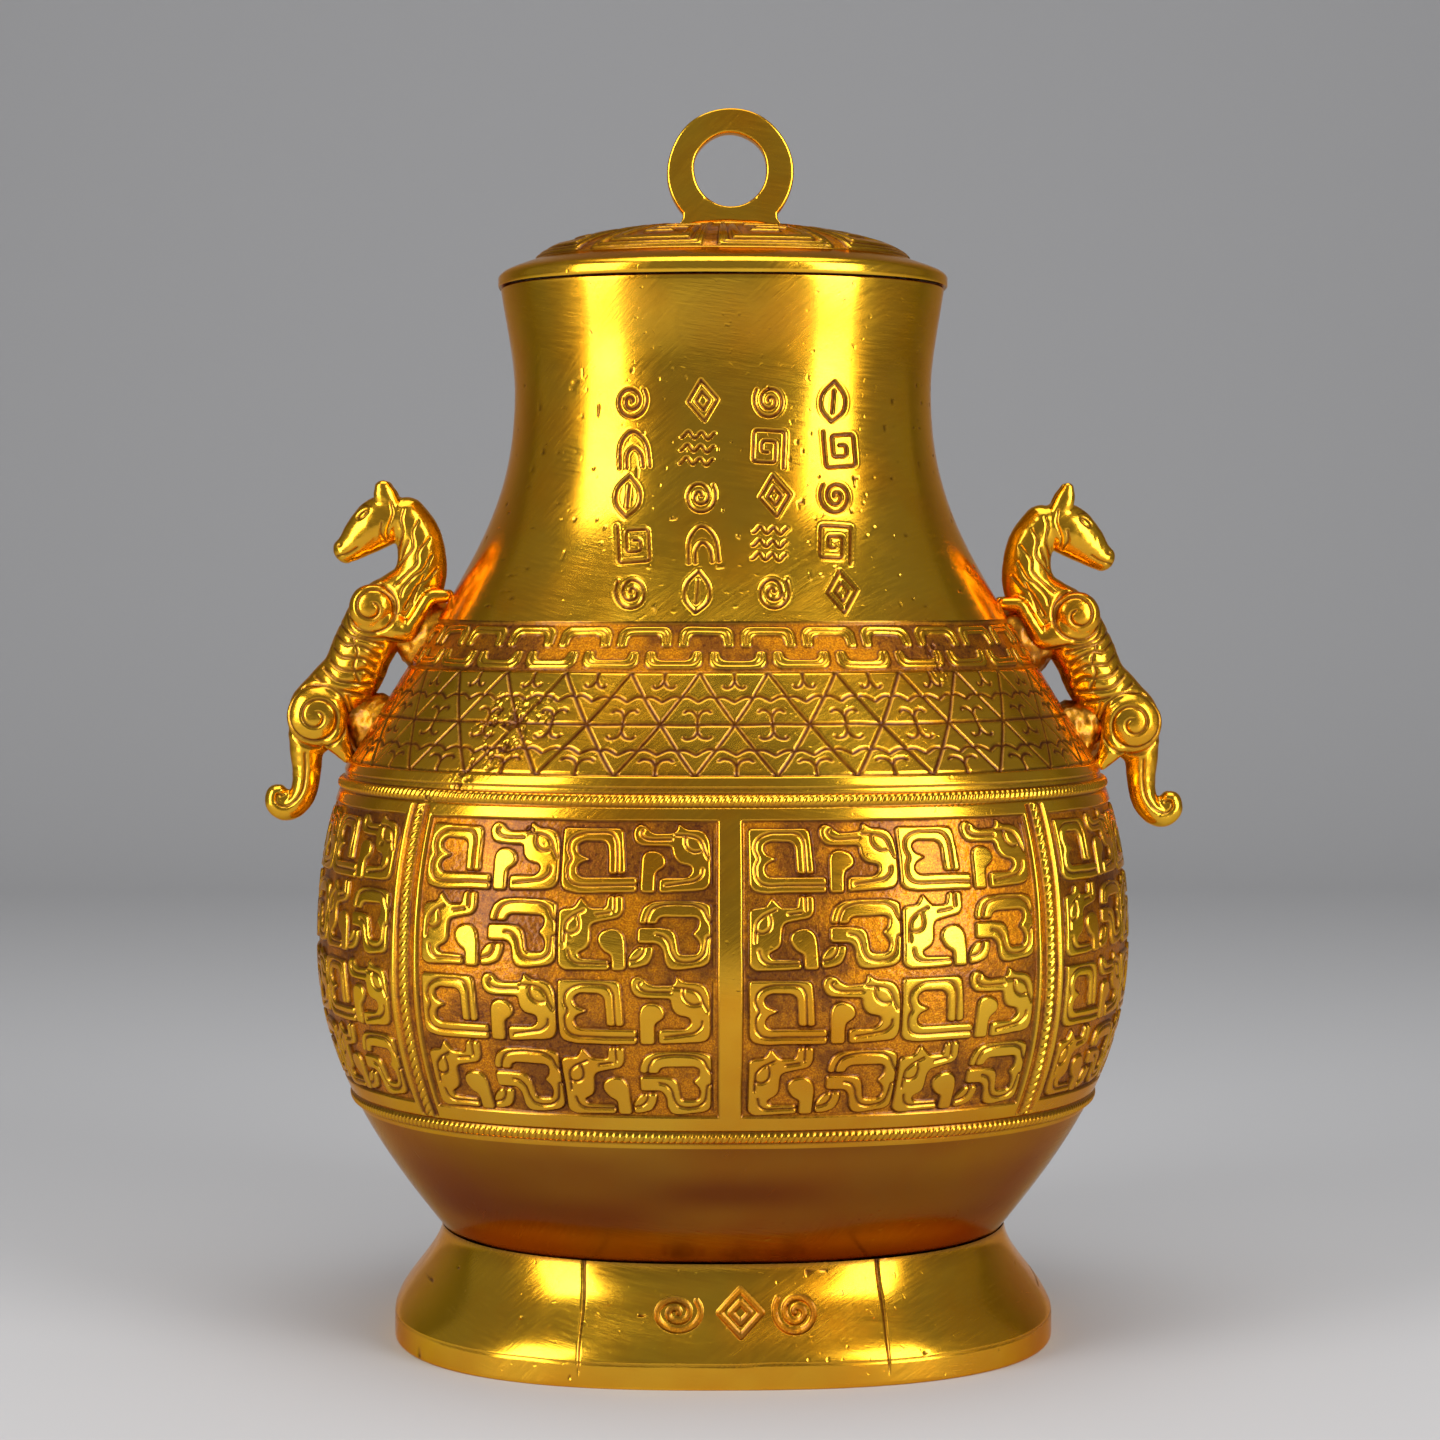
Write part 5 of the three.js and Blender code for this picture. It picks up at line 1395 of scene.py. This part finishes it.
def giltMaterial(name, tint=1.0, scratch=1.0, roughness=0.0):
    g = gilding
    material = bpy.data.materials.new(name)
    material.use_nodes = True
    nodes, links = material.node_tree.nodes, material.node_tree.links
    shader = nodes["Principled BSDF"]
    shader.inputs["Metallic"].default_value = 1.0
    shader.inputs["Specular Tint"].default_value = (*g["grazing"], 1)
    shader.inputs["Coat Weight"].default_value = g["coat"]
    shader.inputs["Coat Roughness"].default_value = g["coatRoughness"]

    def node(kind, **values):
        made = nodes.new(kind)
        for key, value in values.items():
            setattr(made, key, value)
        return made

    def put(source, target):
        links.new(source, target)

    place = node("ShaderNodeTexCoord").outputs["Object"]

    def noise(scale, detail=2.0, rough=0.5, stretch=None, turned=(0, 0, 0)):
        source = place
        if stretch:
            mapping = node("ShaderNodeMapping", vector_type="TEXTURE")  # turned first and stretched after
            mapping.inputs["Scale"].default_value = [1 / s for s in stretch]
            mapping.inputs["Rotation"].default_value = turned
            put(place, mapping.inputs["Vector"])
            source = mapping.outputs["Vector"]
        made = node("ShaderNodeTexNoise")
        put(source, made.inputs["Vector"])
        made.inputs["Scale"].default_value = scale
        made.inputs["Detail"].default_value = detail
        made.inputs["Roughness"].default_value = rough
        return made.outputs["Fac"]

    def rampOf(value, low, high, toLow=0.0, toHigh=1.0):
        made = node("ShaderNodeMapRange")
        put(value, made.inputs["Value"])
        made.inputs["From Min"].default_value, made.inputs["From Max"].default_value = low, high
        made.inputs["To Min"].default_value, made.inputs["To Max"].default_value = toLow, toHigh
        return made.outputs["Result"]

    def maths(kind, a, b):
        made = node("ShaderNodeMath", operation=kind)
        for i, value in enumerate((a, b)):
            if isinstance(value, (int, float)):
                made.inputs[i].default_value = value
            else:
                put(value, made.inputs[i])
        return made.outputs["Value"]

    def mix(share, a, b):
        made = node("ShaderNodeMix", data_type="RGBA")
        if isinstance(share, (int, float)):
            made.inputs["Factor"].default_value = share
        else:
            put(share, made.inputs["Factor"])
        for socket, value in (("A", a), ("B", b)):
            target = [i for i in made.inputs if i.name == socket and i.type == "RGBA"][0]
            if isinstance(value, tuple):
                target.default_value = (*value, 1)
            else:
                put(value, target)
        return [o for o in made.outputs if o.type == "RGBA"][0]

    relief = node("ShaderNodeAttribute", attribute_name="relief")
    split = node("ShaderNodeSeparateColor")
    put(relief.outputs["Color"], split.inputs["Color"])
    ground, line, tone = split.outputs["Red"], split.outputs["Green"], split.outputs["Blue"]

    patterns = ("blotch", "patch", "speck", "grain", "stain")
    blotch, patch, speck, grain, stain = (noise(*g[key]) for key in patterns)
    high = tuple(min(c * tint, 1) for c in g["high"])
    warmShare = maths("ADD", rampOf(blotch, 0.42, 0.66, 0.0, 0.55), rampOf(patch, 0.42, 0.66, 0.0, 0.45))
    colour = mix(warmShare, high, g["warm"])
    # tone leads towards the low colour: painted shade on the lower part of the belly and the top of the foot
    colour = mix(rampOf(tone, 0.0, 1.0, 0.0, 0.95), colour, g["low"])
    # the ground between raised shapes is dull and orange, with dark stains and specks in it; on the beasts it
    # is also painted shade on the sides that face the wall
    groundColour = mix(rampOf(grain, 0.38, 0.68), g["ground"], g["warm"])
    stained = maths("ADD", stain, maths("MULTIPLY", patch, 0.5))
    stainShare = maths("ADD", rampOf(stained, 0.68, 0.84, 0.0, 0.75), rampOf(speck, 0.54, 0.68, 0.0, 0.25))
    groundColour = mix(stainShare, groundColour, g["deep"])
    colour = mix(ground, colour, groundColour)
    # the dark line colour: painted shade round the foot of raised shapes, beside the corner rope, at the
    # waist and at the top of the foot, and a dark fill in cuts, seams and pits
    lineShare = maths("MULTIPLY", line, rampOf(speck, 0.3, 0.62, 0.8, 1.0))
    colour = mix(lineShare, colour, g["line"])
    put(colour, shader.inputs["Base Color"])

    # fine strokes of a scraper, in one direction here and another there
    strokesHere, strokesThere = (noise(1.0, 4, 0.7, *g[key]) for key in ("strokesHere", "strokesThere"))
    brush = mix(rampOf(noise(*g["turns"]), 0.46, 0.54), strokesHere, strokesThere)
    rough = maths("ADD", rampOf(ground, 0, 1, g["roughHigh"] + roughness, g["roughGround"]),
                  rampOf(brush, 0.3, 0.7, -0.05, 0.07))
    rough = maths("ADD", rough, rampOf(line, 0, 1, 0, 0.15))
    rough = maths("ADD", rough, rampOf(blotch, 0.4, 0.7, -0.02, 0.06))
    put(rough, shader.inputs["Roughness"])

    pits = rampOf(noise(*g["pits"]), 0.70, 0.80)
    strokes = maths("MULTIPLY", brush, g["strokeHeight"] * scratch)
    surface = maths("ADD", strokes, maths("MULTIPLY", pits, g["pitHeight"]))
    grainOnGround = maths("MULTIPLY", maths("MULTIPLY", grain, ground), g["grainHeight"])
    surface = maths("ADD", surface, grainOnGround)
    bumpNode = node("ShaderNodeBump")
    bumpNode.inputs["Strength"].default_value = g["bumpStrength"]
    bumpNode.inputs["Distance"].default_value = g["bumpDistance"]
    put(surface, bumpNode.inputs["Height"])
    put(bumpNode.outputs["Normal"], shader.inputs["Normal"])
    return material


bodyGilt = giltMaterial("gilt_body")
paleGilt = giltMaterial("gilt_pale", tint=1.05, scratch=0.7, roughness=-0.01)
beastGilt = giltMaterial("gilt_beast", tint=0.92, scratch=0.6, roughness=0.02)
darkGilt = giltMaterial("gilt_dark", tint=0.6, scratch=0.8, roughness=0.12)


def finishPiece(piece, material, body, slot, *nodes):
    piece.data.materials.clear()
    piece.data.materials.append(material)
    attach(piece, body)
    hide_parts(*nodes)


for piece in vesselPieces:
    finishPiece(piece, bodyGilt, "vessel", "gilt_body", "vessel_body")
for piece in footPieces:
    finishPiece(piece, bodyGilt, "vessel", "gilt_body", "foot_ring")
for piece in lidShells:
    finishPiece(piece, bodyGilt, "lid", "gilt_body", "lid_cover")
finishPiece(collar, darkGilt, "lid", "gilt_dark", "lid_collar")
finishPiece(ringObject, paleGilt, "lid", "gilt_pale", "lid_ring")
for piece, node in zip(handles, ("handle_left", "handle_right")):
    finishPiece(piece, beastGilt, "vessel", "gilt_pale", node)
for name in ("upper_rove_left", "lower_rove_left", "upper_rove_right", "lower_rove_right", "ring_rove"):
    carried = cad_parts[name]
    carried.data.materials.clear()
    carried.data.materials.append(darkGilt)
print("finishes set")


# Studio: pale floor and backdrop in one sweep, two soft boxes and a soft top light, and the camera

studio = dict(
    # metres and degrees: the sweep's floor runs from front to back and bends up into the backdrop
    floorColour=(0.56, 0.56, 0.57), paperRoughness=0.9, paperShine=0.2,
    front=-3.0, back=1.2, bendRadius=0.8, backdropTop=3.5, halfWidth=4.0,
    worldColour=(0.62, 0.62, 0.63), worldStrength=0.32,
    cameraDistance=0.8745, cameraAzimuth=-1.1, cameraHeight=0.1958, cameraPitch=2.482,
    focalPixels=3345, imageWidth=1440, axisPixel=722.5, sensorWidth=36,
    leftAngle=52, leftPower=14, rightAngle=44, rightPower=15,
    sideDistance=1.25, sideHeight=0.45, sideSize=(0.55, 1.3), sideAim=(0, 0, 0.15),
    topPlace=(0.0, -0.1, 1.5), topAim=(0, 0, 0), topSize=(1.1, 1.1), topPower=9,
)


def makeSweep():
    s = studio
    back, radius = s["back"], s["bendRadius"]
    angles = np.linspace(0.1, math.pi / 2, 14)
    bend = [(back + radius * math.sin(a), radius * (1 - math.cos(a))) for a in angles]
    profile = [(s["front"], 0.0), (back, 0.0)] + bend + [(back + radius, s["backdropTop"])]
    points = [(x, y, z) for y, z in profile for x in (-s["halfWidth"], s["halfWidth"])]
    faces = [(2 * i, 2 * i + 1, 2 * i + 3, 2 * i + 2) for i in range(len(profile) - 1)]
    mesh = bpy.data.meshes.new("sweep")
    mesh.from_pydata(points, [], faces)
    mesh.shade_smooth()
    sweep = bpy.data.objects.new("sweep", mesh)
    bpy.context.scene.collection.objects.link(sweep)
    material = bpy.data.materials.new("sweep_paper")
    material.use_nodes = True
    shader = material.node_tree.nodes["Principled BSDF"]
    shader.inputs["Base Color"].default_value = (*s["floorColour"], 1)
    shader.inputs["Roughness"].default_value = s["paperRoughness"]
    shader.inputs["Specular IOR Level"].default_value = s["paperShine"]
    mesh.materials.append(material)


def makeLights():
    s = studio
    world = bpy.data.worlds.new("studio")
    bpy.context.scene.world = world
    world.use_nodes = True
    background = world.node_tree.nodes["Background"]
    background.inputs["Color"].default_value = (*s["worldColour"], 1)
    background.inputs["Strength"].default_value = s["worldStrength"]
    for side, name in ((-1, "left"), (1, "right")):
        angle = math.radians(s[name + "Angle"])
        reach = s["sideDistance"]
        place = (side * math.sin(angle) * reach, -math.cos(angle) * reach, s["sideHeight"])
        addLight("soft_box_" + name, place, s["sideAim"], s["sideSize"], s[name + "Power"])
    addLight("top_light", s["topPlace"], s["topAim"], s["topSize"], s["topPower"])


def addLight(name, place, aim, size, power):
    light = bpy.data.lights.new(name, "AREA")
    light.shape = "RECTANGLE"
    light.size, light.size_y = size
    light.energy = power
    lamp = bpy.data.objects.new(name, light)
    lamp.location = place
    lamp.rotation_mode = "QUATERNION"
    lamp.rotation_quaternion = (Vector(aim) - Vector(place)).to_track_quat("-Z", "Y")
    bpy.context.scene.collection.objects.link(lamp)


def makeCamera():
    s = studio
    camera = bpy.data.cameras.new("camera")
    camera.sensor_width = s["sensorWidth"]
    camera.lens = s["sensorWidth"] * s["focalPixels"] / s["imageWidth"]
    camera.clip_start, camera.clip_end = 0.01, 20
    holder = bpy.data.objects.new("camera", camera)
    azimuth = math.radians(s["cameraAzimuth"])
    reach = s["cameraDistance"]
    holder.location = (math.sin(azimuth) * reach, -math.cos(azimuth) * reach, s["cameraHeight"])
    offAxis = math.atan((s["axisPixel"] - s["imageWidth"] / 2) / s["focalPixels"])
    holder.rotation_euler = (math.pi / 2 - math.radians(s["cameraPitch"]), 0, azimuth + offAxis)
    bpy.context.scene.collection.objects.link(holder)
    bpy.context.scene.camera = holder


makeSweep()
makeLights()
makeCamera()
bpy.context.scene.view_settings.view_transform = "Standard"
print("studio set")
